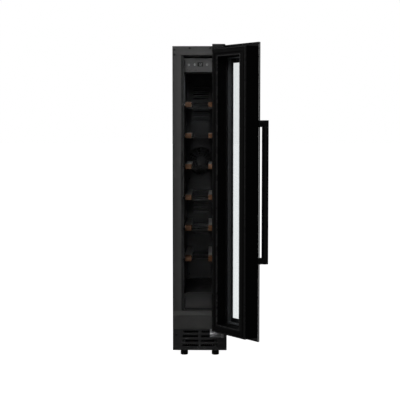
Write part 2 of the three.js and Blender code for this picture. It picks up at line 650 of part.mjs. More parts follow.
// A square fan frame with a round bore and a motor boss on four struts at its rear.
function fanFrame(size, depth, y, centre) {
  const half = size / 2;
  const plate = roundedShape(-half, half, centre - half, centre + half, FAN_CORNER);
  plate.holes.push(roundHole(0, centre, boreRadius(size)));
  const strut = FAN_STRUT_WIDTH / 2;
  const rear = y + depth;
  const front = rear - FAN_STRUT_DEPTH;
  const flat = block(-half, half, front, rear, centre - strut, centre + strut);
  const upright = block(-strut, strut, front, rear, centre - half, centre + half);
  const boss = rod(size * FAN_BOSS, FAN_STRUT_DEPTH).rotateX(Math.PI / 2).translate(0, rear, centre);
  return join(alongY(plate, y, rear, 10), flat, upright, boss);
}

// A hub with pitched blades, in front of the frame's motor boss.
function fanRotor(size, depth, y, centre) {
  const length = depth - FAN_STRUT_DEPTH - 2 * SEAT_GAP - FAN_ROTOR_SETBACK;
  const front = y + FAN_ROTOR_SETBACK;
  const hubRadius = size * FAN_HUB;
  const reach = rotorRadius(size);
  const root = hubRadius * 0.7; // well inside the hub
  const pitch = THREE.MathUtils.degToRad(FAN_BLADE_PITCH);
  const chord = length / Math.sin(pitch) * FAN_BLADE_CHORD;
  const hub = rod(hubRadius, length).rotateX(Math.PI / 2).translate(0, front + length, centre);
  const blades = Array.from({ length: FAN_BLADES }, (_, i) => {
    const blade = new THREE.BoxGeometry(reach - root, FAN_BLADE_THICKNESS, chord);
    blade.rotateX(pitch);
    blade.translate((reach + root) / 2 - 1, 0, 0);
    blade.rotateY(i * 2 * Math.PI / FAN_BLADES);
    return blade.translate(0, front + length / 2, centre);
  });
  return join(hub, ...blades);
}

// A comb of upright fins on a spine, its spine at the rear.
function finBlock(width, thickness, fins, spine, rear, z0, z1) {
  const pitch = (width - FIN_THICKNESS) / (fins - 1);
  const points = [[width / 2, rear], [-width / 2, rear]];
  for (let i = 0; i < fins; i += 1) {
    const x = -width / 2 + i * pitch;
    points.push([x, rear - spine], [x, rear - thickness]);
    points.push([x + FIN_THICKNESS, rear - thickness], [x + FIN_THICKNESS, rear - spine]);
  }
  return alongZ(outline(points), z0, z1);
}

function evaporator() {
  const rear = FRONT + LINER_DEPTH - SEAT_GAP;
  return finBlock(CAVITY_WIDTH - 2 * EVAPORATOR_GAP, EVAPORATOR_THICKNESS, EVAPORATOR_FINS, FIN_SPINE, rear,
    EVAPORATOR_BASE, EVAPORATOR_BASE + EVAPORATOR_HEIGHT);
}

// ---- machine space ------------------------------------------------------------
function condenser() {
  const rear = FRONT + CONDENSER_SETBACK + CONDENSER_THICKNESS;
  return finBlock(CONDENSER_WIDTH, CONDENSER_THICKNESS, CONDENSER_FINS, FIN_SPINE, rear,
    FLOOR_TOP, FLOOR_TOP + CONDENSER_HEIGHT);
}

function compressor() {
  const bottom = FLOOR_TOP + GROMMET_HEIGHT;
  const r = COMPRESSOR_RADIUS;
  const h = COMPRESSOR_HEIGHT;
  const can = turned([
    [0, 0], [r * 0.7, 0], [r * 0.96, h * 0.1], [r * 0.96, h * 0.52], [r, h * 0.53], [r, h * 0.57],
    [r * 0.96, h * 0.58], [r * 0.93, h * 0.82], [r * 0.7, h * 0.96], [r * 0.35, h], [0, h],
  ], 32).translate(0, 0, bottom);
  const halfWidth = COMPRESSOR_FOOT_WIDTH / 2;
  const halfDepth = COMPRESSOR_FOOT_DEPTH / 2;
  const plateBottom = bottom - SEAT_GAP;
  const plate = block(-halfWidth, halfWidth, -halfDepth, halfDepth,
    plateBottom, plateBottom + COMPRESSOR_FOOT_THICKNESS);
  const grommets = [[-1, -1], [-1, 1], [1, -1], [1, 1]].map(([a, b]) => rod(
    GROMMET_RADIUS, GROMMET_HEIGHT, 12).translate(
    a * (halfWidth - GROMMET_INSET), b * (halfDepth - GROMMET_INSET), FLOOR_TOP));
  const stub = rod(STUB_RADIUS, STUB_LENGTH, 12).rotateY(Math.PI / 2).rotateZ(-Math.PI / 2);
  const stubs = [-STUB_X, STUB_X].map((x) => stub.clone().translate(x, -r * 0.8, bottom + h * 0.68));
  return join(can, plate, ...grommets, ...stubs).translate(0, FRONT + COMPRESSOR_CENTRE_DEPTH, 0);
}

function electronicsBox() {
  const [width, depth, height] = ELECTRONICS_SIZE;
  const y = FRONT + ELECTRONICS_SETBACK;
  const lip = ELECTRONICS_LIP;
  const top = FLOOR_TOP + height;
  const body = block(-width / 2, width / 2, y, y + depth, FLOOR_TOP, top);
  const lid = block(-width / 2 - lip, width / 2 + lip, y - lip, y + depth + lip,
    top - ELECTRONICS_LID, top + 1);
  return join(body, lid);
}

function dripTray() {
  const [width, depth, height] = TRAY_SIZE;
  const y = FRONT + TRAY_SETBACK;
  const outer = block(-width / 2, width / 2, y, y + depth, FLOOR_TOP, FLOOR_TOP + height);
  const inner = block(-width / 2 + TRAY_WALL, width / 2 - TRAY_WALL, y + TRAY_WALL, y + depth - TRAY_WALL,
    FLOOR_TOP + TRAY_WALL, FLOOR_TOP + height + 1);
  return cut(outer, inner);
}

function powerInlet() {
  const [x, z] = INLET_PLACE;
  const y = REAR_FACE + SEAT_GAP;
  const halfW = INLET_SIZE[0] / 2;
  const halfH = INLET_SIZE[1] / 2;
  const flangeW = INLET_FLANGE[0] / 2;
  const flangeH = INLET_FLANGE[1] / 2;
  const body = alongY(roundedShape(x - halfW, x + halfW, z - halfH, z + halfH, 1), y - INLET_DEPTH, y + 0.5, 2);
  const flange = alongY(roundedShape(x - flangeW, x + flangeW, z - flangeH, z + flangeH, 3),
    y, y + INLET_FLANGE_THICKNESS, 3);
  const recess = block(x - halfW + INLET_WALL, x + halfW - INLET_WALL,
    y - INLET_DEPTH + INLET_WALL, y + INLET_FLANGE_THICKNESS + 1,
    z - halfH + INLET_WALL, z + halfH - INLET_WALL);
  const pins = INLET_PINS.map(([dx, dz]) => block(
    x + dx - 1, x + dx + 1, y - INLET_DEPTH + INLET_WALL / 2, y - INLET_PIN_SETBACK, z + dz - 2, z + dz + 2));
  return join(cut(join(body, flange), recess), ...pins);
}

// ---- shelves --------------------------------------------------------------------
function shelfCap(side, z) {
  const half = RAIL_HEIGHT / 2;
  const c = RAIL_CHAMFER;
  const inner = side * RAIL_INNER_X;
  const outer = side * RAIL_OUTER_X;
  const points = [
    [inner + side * c, z - half], [outer - side * c, z - half], [outer, z - half + c],
    [outer, z + half - c], [outer - side * c, z + half], [inner + side * c, z + half],
    [inner, z + half - c], [inner, z - half + c],
  ];
  const front = FRONT + SHELF_FRONT;
  return alongY(outline(side > 0 ? points : points.reverse()), front, front + CAP_DEPTH);
}

// A folded steel channel, open below, with a tongue that runs in the liner's groove.
function shelfRail(side, z) {
  const half = RAIL_HEIGHT / 2;
  const front = FRONT + SHELF_FRONT + CAP_DEPTH + SEAT_GAP;
  const rear = FRONT + SHELF_REAR;
  const inner = side * RAIL_INNER_X;
  const outer = side * RAIL_OUTER_X;
  const wall = side * RAIL_SHEET;
  const points = [
    [inner, z - half], [inner + wall, z - half], [inner + wall, z + half - RAIL_SHEET],
    [outer - wall, z + half - RAIL_SHEET], [outer - wall, z - half], [outer, z - half],
    [outer, z + half], [inner, z + half],
  ];
  const channel = alongY(outline(side > 0 ? points : points.reverse()), front, rear);
  const reach = outer + side * TONGUE_REACH;
  const root = outer - wall / 2;
  const tongue = block(Math.min(root, reach), Math.max(root, reach),
    front + TONGUE_SETBACK, rear - TONGUE_SETBACK, z - TONGUE_HEIGHT / 2, z + TONGUE_HEIGHT / 2);
  return join(channel, tongue);
}

// Both rails and the flat bars welded across under them.
function shelfFrame(z) {
  const barTop = z - RAIL_HEIGHT / 2 + SHELF_BAR_LAP;
  const reach = CAVITY_X - SHELF_BAR_INSET;
  const bars = SHELF_BAR_DEPTHS.map((depth) => block(
    -reach, reach, FRONT + depth, FRONT + depth + SHELF_BAR_WIDTH, barTop - RAIL_SHEET, barTop));
  return join(shelfRail(-1, z), shelfRail(1, z), ...bars);
}

function shelf(number, z) {
  const group = new THREE.Group();
  group.add(piece(`shelf_${number}_cap_left`, shelfCap(-1, z), 'wood'));
  group.add(piece(`shelf_${number}_cap_right`, shelfCap(1, z), 'wood'));
  group.add(piece(`shelf_${number}_frame`, shelfFrame(z), 'steel'));
  return group;
}

// ---- hinges -----------------------------------------------------------------------
// A plate from its rear edge to a round nose about the hinge axis.
function hingePlan(left, right, front, nose, rear = FRONT - SEAT_GAP) {
  const shape = new THREE.Shape();
  shape.moveTo(left, rear);
  shape.lineTo(left, FRONT - front);
  shape.lineTo(PIVOT_X, PIVOT_Y - nose);
  shape.absarc(PIVOT_X, PIVOT_Y, nose, -Math.PI / 2, Math.acos((right - PIVOT_X) / nose), false);
  shape.lineTo(right, rear);
  shape.closePath();
  return shape;
}

function hingeBracket(left, z0, legFrom, legTo, holes) {
  const shape = hingePlan(left, HALF_WIDTH - BRACKET_RIGHT, BRACKET_FRONT, BRACKET_NOSE);
  shape.holes.push(...holes);
  const plate = alongZ(shape, z0, z0 + BRACKET_THICKNESS, 8);
  const legRear = FRONT - SEAT_GAP;
  const leg = block(left, HALF_WIDTH - BRACKET_RIGHT, legRear - BRACKET_THICKNESS, legRear, legFrom, legTo);
  return join(plate, leg);
}

// The upper pin is riveted into its bracket.
function hingeBracketTop() {
  const top = TOP_BRACKET_Z + BRACKET_THICKNESS;
  const tip = BODY_TOP - PIN_REACH;
  const pin = turned([
    [0, tip], [PIN_RADIUS - PIN_TIP, tip], [PIN_RADIUS, tip + PIN_TIP], [PIN_RADIUS, top],
    [PIN_HEAD_RADIUS, top], [PIN_HEAD_RADIUS, top + PIN_HEAD], [0, top + PIN_HEAD],
  ], 20).translate(PIVOT_X, PIVOT_Y, 0);
  const plate = hingeBracket(TOP_BRACKET_LEFT, TOP_BRACKET_Z, TOP_BRACKET_Z, top + TOP_BRACKET_LEG, []);
  return join(plate, pin);
}

function hingeBracketBottom() {
  const bottom = BOTTOM_BRACKET_Z - BRACKET_THICKNESS;
  const hole = roundHole(PIVOT_X, PIVOT_Y, PIN_RADIUS + PIN_CLEARANCE);
  return hingeBracket(BOTTOM_BRACKET_LEFT, bottom, bottom, BOTTOM_BRACKET_Z + BOTTOM_BRACKET_LEG, [hole]);
}

function hingeCoverTop() {
  const wall = HINGE_COVER_WALL;
  const top = CABINET_HEIGHT + HINGE_COVER_RISE;
  const right = HALF_WIDTH - BRACKET_RIGHT + wall + SEAT_GAP;
  const front = BRACKET_FRONT + wall + HINGE_COVER_NOSE_GAP;
  const outer = alongZ(hingePlan(HINGE_COVER_LEFT, right, front, HINGE_COVER_NOSE), TOP_BRACKET_Z, top, 8);
  const inner = alongZ(
    hingePlan(HINGE_COVER_LEFT + wall, right - wall, front - wall, HINGE_COVER_NOSE - wall, FRONT),
    TOP_BRACKET_Z - 1, top - wall, 8);
  return cut(outer, inner);
}

// The lower pin has a collar that carries the door and a head under the plate.
function hingePinBottom() {
  const plateBottom = BOTTOM_BRACKET_Z - BRACKET_THICKNESS;
  const tip = BODY_BOTTOM + PIN_REACH;
  return turned([
    [0, plateBottom - SEAT_GAP - PIN_HEAD], [PIN_HEAD_RADIUS, plateBottom - SEAT_GAP - PIN_HEAD],
    [PIN_HEAD_RADIUS, plateBottom - SEAT_GAP], [PIN_RADIUS, plateBottom - SEAT_GAP],
    [PIN_RADIUS, BOTTOM_BRACKET_Z + SEAT_GAP], [PIN_HEAD_RADIUS, BOTTOM_BRACKET_Z + SEAT_GAP],
    [PIN_HEAD_RADIUS, BODY_BOTTOM - SEAT_GAP], [PIN_RADIUS, BODY_BOTTOM - SEAT_GAP],
    [PIN_RADIUS, tip - PIN_TIP], [PIN_RADIUS - PIN_TIP, tip], [0, tip],
  ], 20).translate(PIVOT_X, PIVOT_Y, 0);
}

// ---- door, drawn closed with the hinge axis at x = 0, y = 0 ---------------------------
const DOOR_OUTER_Y = -PIVOT_DEPTH;
const DOOR_INNER_Y = DOOR_THICKNESS - PIVOT_DEPTH;
const DOOR_RIGHT = PIVOT_INSET;
const DOOR_LEFT = PIVOT_INSET - CABINET_WIDTH;
const BODY_RIGHT = DOOR_RIGHT - DOOR_BODY_HINGE_INSET;
const BODY_LEFT = DOOR_LEFT + DOOR_BODY_FREE_INSET;
const WINDOW_RIGHT = BODY_RIGHT - DOOR_BORDER_HINGE;
const WINDOW_LEFT = BODY_LEFT + DOOR_BORDER_FREE;
const WINDOW_TOP = BODY_TOP - DOOR_BORDER_END;
const WINDOW_BOTTOM = BODY_BOTTOM + DOOR_BORDER_END;
const PANE_INNER_Y = DOOR_OUTER_Y + GLASS_UNIT;

function doorGlassOuter() {
  const shape = roundedShape(DOOR_LEFT, DOOR_RIGHT, DOOR_GLASS_BOTTOM, GLASS_TOP, DOOR_GLASS_CORNER);
  return alongY(shape, DOOR_OUTER_Y, DOOR_OUTER_Y + DOOR_GLASS, 3);
}

function windowBox(margin, y0, y1) {
  return block(WINDOW_LEFT - margin, WINDOW_RIGHT + margin, y0, y1,
    WINDOW_BOTTOM - margin, WINDOW_TOP + margin);
}

function doorFrame() {
  const front = DOOR_OUTER_Y + DOOR_GLASS + SEAT_GAP;
  const body = block(BODY_LEFT, BODY_RIGHT, front, DOOR_INNER_Y, BODY_BOTTOM, BODY_TOP);
  const window = windowBox(0, front - 1, DOOR_INNER_Y + 1);
  const rebate = windowBox(DOOR_REBATE, front - 1, PANE_INNER_Y + SEAT_GAP);
  const bore = PIN_RADIUS + PIN_CLEARANCE;
  const boreLength = PIN_REACH + PIN_BORE_SPARE;
  const topBore = rod(bore, boreLength + 1).translate(0, 0, BODY_TOP - boreLength);
  const bottomBore = rod(bore, boreLength + 1).translate(0, 0, BODY_BOTTOM - 1);
  const groove = gasketRing(0, DOOR_INNER_Y - GASKET_GROOVE, DOOR_INNER_Y + 1);
  return cut(body, window, rebate, topBore, bottomBore, groove);
}

function gasketRing(inset, y0, y1) {
  const outer = GASKET_INSET + inset;
  const inner = GASKET_INSET + GASKET_WIDTH - inset;
  const shape = roundedShape(
    BODY_LEFT + outer, BODY_RIGHT - outer, BODY_BOTTOM + outer, BODY_TOP - outer, 4);
  shape.holes.push(roundedHole(
    BODY_LEFT + inner, BODY_RIGHT - inner, BODY_BOTTOM + inner, BODY_TOP - inner, 2));
  return alongY(shape, y0, y1, 3);
}

function doorGasket() {
  const base = DOOR_INNER_Y - GASKET_GROOVE + SEAT_GAP;
  const face = DOOR_INNER_Y + DOOR_GAP - SEAT_GAP;
  return join(gasketRing(SEAT_GAP, base, DOOR_INNER_Y), gasketRing(GASKET_WIDTH / 5, DOOR_INNER_Y - 1, face));
}

function doorGlassInner() {
  const margin = DOOR_REBATE - SEAT_GAP;
  return windowBox(margin, PANE_INNER_Y - INNER_PANE, PANE_INNER_Y);
}

function doorSpacer() {
  const margin = DOOR_REBATE - SEAT_GAP;
  const y0 = DOOR_OUTER_Y + DOOR_GLASS + SEAT_GAP;
  const y1 = PANE_INNER_Y - INNER_PANE - SEAT_GAP;
  return cut(windowBox(margin, y0, y1), windowBox(margin - SPACER_WIDTH, y0 - 1, y1 + 1));
}

function handle() {
  const x = DOOR_LEFT + HANDLE_INSET;
  const axisY = DOOR_OUTER_Y - HANDLE_STANDOFF;
  const legLength = HANDLE_STANDOFF - SEAT_GAP;
  const bar = rod(HANDLE_RADIUS, HANDLE_LENGTH, 24).translate(x, axisY, HANDLE_BOTTOM);
  const legHeights = [HANDLE_BOTTOM + HANDLE_RADIUS, HANDLE_BOTTOM + HANDLE_LENGTH - HANDLE_RADIUS];
  const legs = legHeights.map((z) => rod(HANDLE_LEG_RADIUS, legLength, 24)
    .rotateX(-Math.PI / 2).translate(x, axisY, z));
  return join(bar, ...legs);
}

function door() {
  const group = new THREE.Group();
  group.add(piece('door_glass_outer', doorGlassOuter(), 'darkGlass'));
  group.add(piece('door_frame', doorFrame(), 'doorBody'));
  group.add(piece('door_gasket', doorGasket(), 'rubber'));
  group.add(piece('door_glass_inner', doorGlassInner(), 'glass'));
  group.add(piece('door_spacer', doorSpacer(), 'aluminium'));
  group.add(piece('handle', handle(), 'handle'));
  group.position.set(PIVOT_X, PIVOT_Y, 0);
  group.rotation.z = THREE.MathUtils.degToRad(DOOR_OPEN);
  return group;
}

// ---- assembly -----------------------------------------------------------------------
function cabinetShell() {
  const group = new THREE.Group();
  group.add(piece('side_panel_left', sidePanel(-1), 'cabinet'));
  group.add(piece('side_panel_right', sidePanel(1), 'cabinet'));
  group.add(piece('top_panel', topPanel(), 'cabinet'));
  group.add(piece('rear_panel', rearPanel(), 'cabinet'));
  group.add(piece('base_plate', basePlate(), 'steel'));
  group.add(piece('front_frame', frontFrame(), 'cabinet'));
  group.add(piece('lower_front_panel', lowerFrontPanel(), 'cabinet'));
  group.add(piece('toe_grille', toeGrille(), 'grille'));
  group.add(piece('grille_screw', grilleScrew(), 'steel'));
  for (const [name, x, y] of footPlaces()) {
    group.add(piece(name, foot().translate(x, y, 0), 'rubber'));
  }
  return group;
}

function interior() {
  const group = new THREE.Group();
  const fanY = FRONT + DUCT_COVER_DEPTH + DUCT_COVER_THICKNESS + SEAT_GAP;
  group.add(piece('insulation_foam', insulationFoam(), 'foam'));
  group.add(piece('inner_liner', innerLiner(), 'liner'));
  group.add(piece('breaker_trim', breakerTrim(), 'liner'));
  group.add(piece('floor_cover', floorCover(), 'liner'));
  group.add(piece('control_fascia', controlFascia(), 'fascia'));
  group.add(piece('control_housing', controlHousing(), 'liner'));
  group.add(piece('control_board', controlBoard(), 'board'));
  group.add(piece('interior_light', interiorLight(), 'light'));
  group.add(piece('rear_duct_cover', rearDuctCover(), 'liner'));
  group.add(piece('fan_frame', fanFrame(FAN_FRAME, FAN_FRAME_DEPTH, fanY, FAN_CENTRE), 'black'));
  group.add(piece('fan_rotor', fanRotor(FAN_FRAME, FAN_FRAME_DEPTH, fanY, FAN_CENTRE), 'black'));
  group.add(piece('evaporator', evaporator(), 'aluminium'));
  shelfHeights().forEach((z, i) => group.add(shelf(i + 1, z)));
  return group;
}

function machineSpace() {
  const group = new THREE.Group();
  const size = CONDENSER_FAN_FRAME;
  const y = FRONT + CONDENSER_FAN_SETBACK;
  const centre = FLOOR_TOP + size / 2;
  group.add(piece('condenser', condenser(), 'aluminium'));
  group.add(piece('condenser_fan_frame', fanFrame(size, CONDENSER_FAN_DEPTH, y, centre), 'black'));
  group.add(piece('condenser_fan_rotor', fanRotor(size, CONDENSER_FAN_DEPTH, y, centre), 'black'));
  group.add(piece('compressor', compressor(), 'black'));
  group.add(piece('electronics_box', electronicsBox(), 'black'));
  group.add(piece('drip_tray', dripTray(), 'black'));
  group.add(piece('power_inlet', powerInlet(), 'black'));
  return group;
}

function hinges() {
  const group = new THREE.Group();
  group.add(piece('hinge_bracket_top', hingeBracketTop(), 'steel'));
  group.add(piece('hinge_cover_top', hingeCoverTop(), 'black'));
  group.add(piece('hinge_bracket_bottom', hingeBracketBottom(), 'steel'));
  group.add(piece('hinge_pin_bottom', hingePinBottom(), 'steel'));
  return group;
}

const wineCooler = new THREE.Group();
wineCooler.add(cabinetShell(), interior(), machineSpace(), hinges(), door());
wineCooler.updateMatrixWorld(true);

export default wineCooler;
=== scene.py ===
"""Looks of a slim wine cooler with an open glass door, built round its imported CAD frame."""

import json
import math

import bmesh
import bpy
from mathutils import Matrix, Vector


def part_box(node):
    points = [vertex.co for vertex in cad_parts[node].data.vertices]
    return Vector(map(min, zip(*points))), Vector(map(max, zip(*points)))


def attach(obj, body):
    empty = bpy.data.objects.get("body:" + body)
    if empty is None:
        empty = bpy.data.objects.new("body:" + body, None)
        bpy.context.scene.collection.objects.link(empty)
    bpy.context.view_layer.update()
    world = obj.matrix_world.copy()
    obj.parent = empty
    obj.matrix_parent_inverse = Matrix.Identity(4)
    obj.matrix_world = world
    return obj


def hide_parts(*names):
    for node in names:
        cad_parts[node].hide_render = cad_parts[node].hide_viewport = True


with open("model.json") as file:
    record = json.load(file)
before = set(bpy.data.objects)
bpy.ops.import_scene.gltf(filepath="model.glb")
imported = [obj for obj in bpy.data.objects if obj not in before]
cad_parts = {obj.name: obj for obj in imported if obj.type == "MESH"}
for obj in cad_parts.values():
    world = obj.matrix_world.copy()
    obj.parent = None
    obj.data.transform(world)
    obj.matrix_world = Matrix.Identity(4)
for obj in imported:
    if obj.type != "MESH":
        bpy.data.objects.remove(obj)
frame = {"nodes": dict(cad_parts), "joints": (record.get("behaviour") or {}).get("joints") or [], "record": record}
bpy.context.view_layer.update()
NODES = frame["nodes"]
MM = 0.001

# ---- places worked out from the frame ------------------------------------
HINGE = next(j for j in frame["joints"] if j["name"] == "door_hinge")
DOOR_OPEN = -math.radians(HINGE["range_deg"][0])
PIVOT = Vector(HINGE["pos_m"])
DOOR_PLACE = Matrix.Translation(PIVOT) @ Matrix.Rotation(DOOR_OPEN, 4, "Z")
FLANGE_LOW, FLANGE_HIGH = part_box("front_frame")
FRONT = FLANGE_LOW.y
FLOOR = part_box("foot_front_left")[0].z
FLANGE_SIDE_BAR = 23.6 * MM
FLANGE_TOP_BAR = 24 * MM
FLANGE_FOOT_BAR = 12.4 * MM
OPENING_HALF = FLANGE_HIGH.x - FLANGE_SIDE_BAR
OPENING_TOP = FLANGE_HIGH.z - FLANGE_TOP_BAR
OPENING_BOTTOM = FLANGE_LOW.z + FLANGE_FOOT_BAR
SHELF_RAIL_INNER = 23.2 * MM  # just inside the inner edge of the rails

TO_FRONT = (0, -1, 0)
TO_BACK = (0, 1, 0)


def door_box(node):
    """Lowest and highest corner of a door node, in the closed door's own axes about its hinge."""
    inverse = DOOR_PLACE.inverted()
    places = [inverse @ v.co for v in NODES[node].data.vertices]
    low = Vector(min(p[i] for p in places) for i in range(3))
    high = Vector(max(p[i] for p in places) for i in range(3))
    return low, high


# ---- material building -----------------------------------------------------
# Most of a noise pattern lies in this range.
PATTERN_LOW = 0.3
PATTERN_HIGH = 0.7
# The mix node's colour sockets, which share their names with its number sockets.
MIX_COLOUR_A = 6
MIX_COLOUR_B = 7
MIX_COLOUR_OUT = 2


class Shader:
    """A node material being built. An input takes a socket or a plain value."""

    def __init__(self, name):
        self.material = bpy.data.materials.new(name)
        self.material.use_nodes = True
        self.tree = self.material.node_tree
        self.tree.nodes.clear()
        self.output = self.add("ShaderNodeOutputMaterial")
        self.bsdf = self.add("ShaderNodeBsdfPrincipled")
        self.join(self.bsdf.outputs[0], self.output.inputs["Surface"])
        self.coords = self.add("ShaderNodeTexCoord").outputs["Object"]
        self.geometry = self.add("ShaderNodeNewGeometry")

    def add(self, kind, **settings):
        node = self.tree.nodes.new(kind)
        for key, value in settings.items():
            setattr(node, key, value)
        return node

    def join(self, source, target):
        self.tree.links.new(source, target)

    def put(self, target, value):
        """Links a socket to an input, or sets the input to a plain value."""
        if isinstance(value, bpy.types.NodeSocket):
            self.join(value, target)
        else:
            target.default_value = value

    def maths(self, operation, a, b=0.0, clamp=False):
        node = self.add("ShaderNodeMath", operation=operation, use_clamp=clamp)
        self.put(node.inputs[0], a)
        self.put(node.inputs[1], b)
        return node.outputs[0]

    def vector(self, operation, a, b):
        node = self.add("ShaderNodeVectorMath", operation=operation)
        self.put(node.inputs[0], a)
        self.put(node.inputs[1], b)
        return node.outputs["Value" if operation == "DOT_PRODUCT" else "Vector"]

    def stretched(self, scale):
        """The object's coordinates, scaled along each axis."""
        return self.vector("MULTIPLY", self.coords, scale)

    def split(self, source=None):
        """The X, Y and Z of a vector, or of the object's coordinates."""
        node = self.add("ShaderNodeSeparateXYZ")
        self.join(source or self.coords, node.inputs[0])
        return node.outputs

    def noise(self, scale, detail=3.0, roughness=0.55, source=None):
        node = self.add("ShaderNodeTexNoise")
        self.join(source or self.coords, node.inputs["Vector"])
        node.inputs["Scale"].default_value = scale
        node.inputs["Detail"].default_value = detail
        node.inputs["Roughness"].default_value = roughness
        return node.outputs["Fac"]

    def streaks(self, scale, detail=3.0):
        """Noise drawn out along the axes whose scale is small."""
        return self.noise(1.0, detail=detail, source=self.stretched(scale))

    def cells(self, scale, feature="F1"):
        node = self.add("ShaderNodeTexVoronoi", feature=feature)
        self.join(self.coords, node.inputs["Vector"])
        node.inputs["Scale"].default_value = scale
        return node.outputs["Distance"]

    def wave(self, scale, distortion, source, direction="X"):
        node = self.add("ShaderNodeTexWave", bands_direction=direction)
        self.join(source, node.inputs["Vector"])
        node.inputs["Scale"].default_value = scale
        node.inputs["Distortion"].default_value = distortion
        node.inputs["Detail"].default_value = 2.0
        return node.outputs["Fac"]

    def span(self, value, low, high, to_low=0.0, to_high=1.0):
        """Maps low and high onto to_low and to_high, and clamps what lies beyond."""
        node = self.add("ShaderNodeMapRange")
        self.put(node.inputs["Value"], value)
        limits = {"From Min": low, "From Max": high, "To Min": to_low, "To Max": to_high}
        for name, number in limits.items():
            node.inputs[name].default_value = number
        return node.outputs["Result"]

    def swing(self, pattern, low, high):
        """A number that wanders between low and high with a pattern."""
        return self.span(pattern, PATTERN_LOW, PATTERN_HIGH, low, high)

    def blend(self, factor, a, b):
        node = self.add("ShaderNodeMix", data_type="RGBA", blend_type="MIX")
        self.put(node.inputs["Factor"], factor)
        for index, value in ((MIX_COLOUR_A, a), (MIX_COLOUR_B, b)):
            linked = isinstance(value, bpy.types.NodeSocket)
            self.put(node.inputs[index], value if linked else (*value, 1.0))
        return node.outputs[MIX_COLOUR_OUT]

    def overlay(self, colour, other, pattern, low, high, amount):
        """Lays another colour over the first, up to an amount, as a pattern goes from low to high."""
        return self.blend(self.span(pattern, low, high, 0.0, amount), colour, other)

    def bump(self, height, strength, depth, under=None):
        """A normal raised by a height pattern, on top of another normal if one is given."""
        node = self.add("ShaderNodeBump")
        self.join(height, node.inputs["Height"])
        if under is not None:
            self.join(under, node.inputs["Normal"])
        node.inputs["Strength"].default_value = strength
        node.inputs["Distance"].default_value = depth * MM
        return node.outputs["Normal"]

    def mixed(self, factor, first, second):
        """A node that mixes the surfaces of two others."""
        node = self.add("ShaderNodeMixShader")
        self.join(factor, node.inputs[0])
        self.join(first.outputs[0], node.inputs[1])
        self.join(second.outputs[0], node.inputs[2])
        return node

    def finish(self, colour, roughness, normal=None, **constants):
        """Sets the surface's colour, roughness, normal and plain numbers, and gives the material."""
        self.put(self.bsdf.inputs["Base Color"], colour)
        self.put(self.bsdf.inputs["Roughness"], roughness)
        if normal is not None:
            self.join(normal, self.bsdf.inputs["Normal"])
        for name, value in constants.items():
            self.bsdf.inputs[name.replace("_", " ")].default_value = value
        return self.material


def grey(level):
    return level, level, level


def scaled(colour, factor):
    """A colour made darker or paler by a factor."""
    return tuple(channel * factor for channel in colour)


ALUMINIUM = (0.62, 0.63, 0.65)
SHADE_SPREAD = 0.18
WORN_EDGE = 0.5 * MM


def coated(name, colour, roughness, grain, depth, wear=0.35, **constants):
    """Paint or plastic: a fine moulded grain, slow shade changes, smudges in the gloss and paler edges.

    The grain's depth is in millimetres.
    """
    s = Shader(name)
    patches = s.noise(14.0, detail=4.0)
    fine = s.noise(grain, detail=2.0)
    tone = s.blend(patches, scaled(colour, 1 - SHADE_SPREAD), scaled(colour, 1 + SHADE_SPREAD))
    speck = s.noise(grain * 0.6, detail=1.0)
    tone = s.overlay(tone, scaled(colour, 1.6), speck, 0.62, 0.75, 0.35)
    bevel = s.add("ShaderNodeBevel", samples=4)
    bevel.inputs["Radius"].default_value = WORN_EDGE
    flatness = s.vector("DOT_PRODUCT", bevel.outputs[0], s.geometry.outputs["True Normal"])
    edge = s.span(flatness, 0.995, 0.8, 0.0, wear)
    edge = s.maths("MULTIPLY", edge, s.span(s.noise(160.0), 0.35, 0.65), clamp=True)
    tone = s.blend(edge, tone, scaled(colour, 2.4))
    smudge = s.noise(38.0, detail=5.0, roughness=0.65)
    gloss = s.swing(smudge, roughness - 0.07, roughness + 0.09)
    return s.finish(tone, gloss, s.bump(fine, 0.35, depth, under=bevel.outputs[0]), **constants)


def flange_paint():
    """Satin grey paint, with a painted sheen that grows paler towards the opening and a painted highlight on the
    sill.
    """
    outer_grey = grey(0.058)
    inner_sheen_grey = (0.098, 0.097, 0.095)
    sill_highlight_grey = (0.150, 0.149, 0.146)
    patch_grey = grey(0.062)
    streak_grey = (0.12, 0.12, 0.118)
    sill_highlight_fade = 1 * MM
    s = Shader("flange_grey_paint")
    x, _, z = s.split()
    beside = s.maths("SUBTRACT", s.maths("ABSOLUTE", x), OPENING_HALF)
    above = s.maths("SUBTRACT", z, OPENING_TOP)
    reach = s.maths("MAXIMUM", beside, above)
    # Painted sheen: the grey grows paler across each bar towards the opening.
    colour = s.blend(s.span(reach, 0.0, FLANGE_SIDE_BAR, 1.0, 0.0), outer_grey, inner_sheen_grey)
    # Painted highlight: the sill below the opening is paler still.
    sill_highlight_mask = s.span(z, OPENING_BOTTOM - sill_highlight_fade, OPENING_BOTTOM + sill_highlight_fade, 1.0, 0.0)
    colour = s.blend(sill_highlight_mask, colour, sill_highlight_grey)
    colour = s.overlay(colour, patch_grey, s.noise(20.0, detail=4.0), 0.3, 0.7, 0.3)
    colour = s.overlay(colour, streak_grey, s.streaks((900.0, 900.0, 12.0)), 0.45, 0.75, 0.3)
    gloss = s.swing(s.noise(45.0, detail=4.0), 0.36, 0.48)
    peel = s.noise(420.0, detail=2.0)
    return s.finish(colour, gloss, s.bump(peel, 0.25, 0.04))


def cover_plastic():
    """Charcoal moulded plastic, with painted light that makes it paler towards its foot."""
    charcoal = grey(0.022)
    lit_foot_grey = (0.070, 0.069, 0.067)
    s = Shader("floor_cover_plastic")
    low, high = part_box("floor_cover")
    foot = s.span(s.split()[2], low.z, high.z, 1.0, 0.0)
    foot_light_mask = s.maths("MULTIPLY", foot, s.swing(s.noise(30.0, detail=4.0), 0.75, 1.0))
    # Painted light: paler towards the foot, broken up a little by noise.
    colour = s.blend(foot_light_mask, charcoal, lit_foot_grey)
    grain = s.noise(900.0, detail=2.0)
    gloss = s.swing(s.noise(40.0, detail=5.0), 0.34, 0.48)
    return s.finish(colour, gloss, s.bump(grain, 0.35, 0.05))


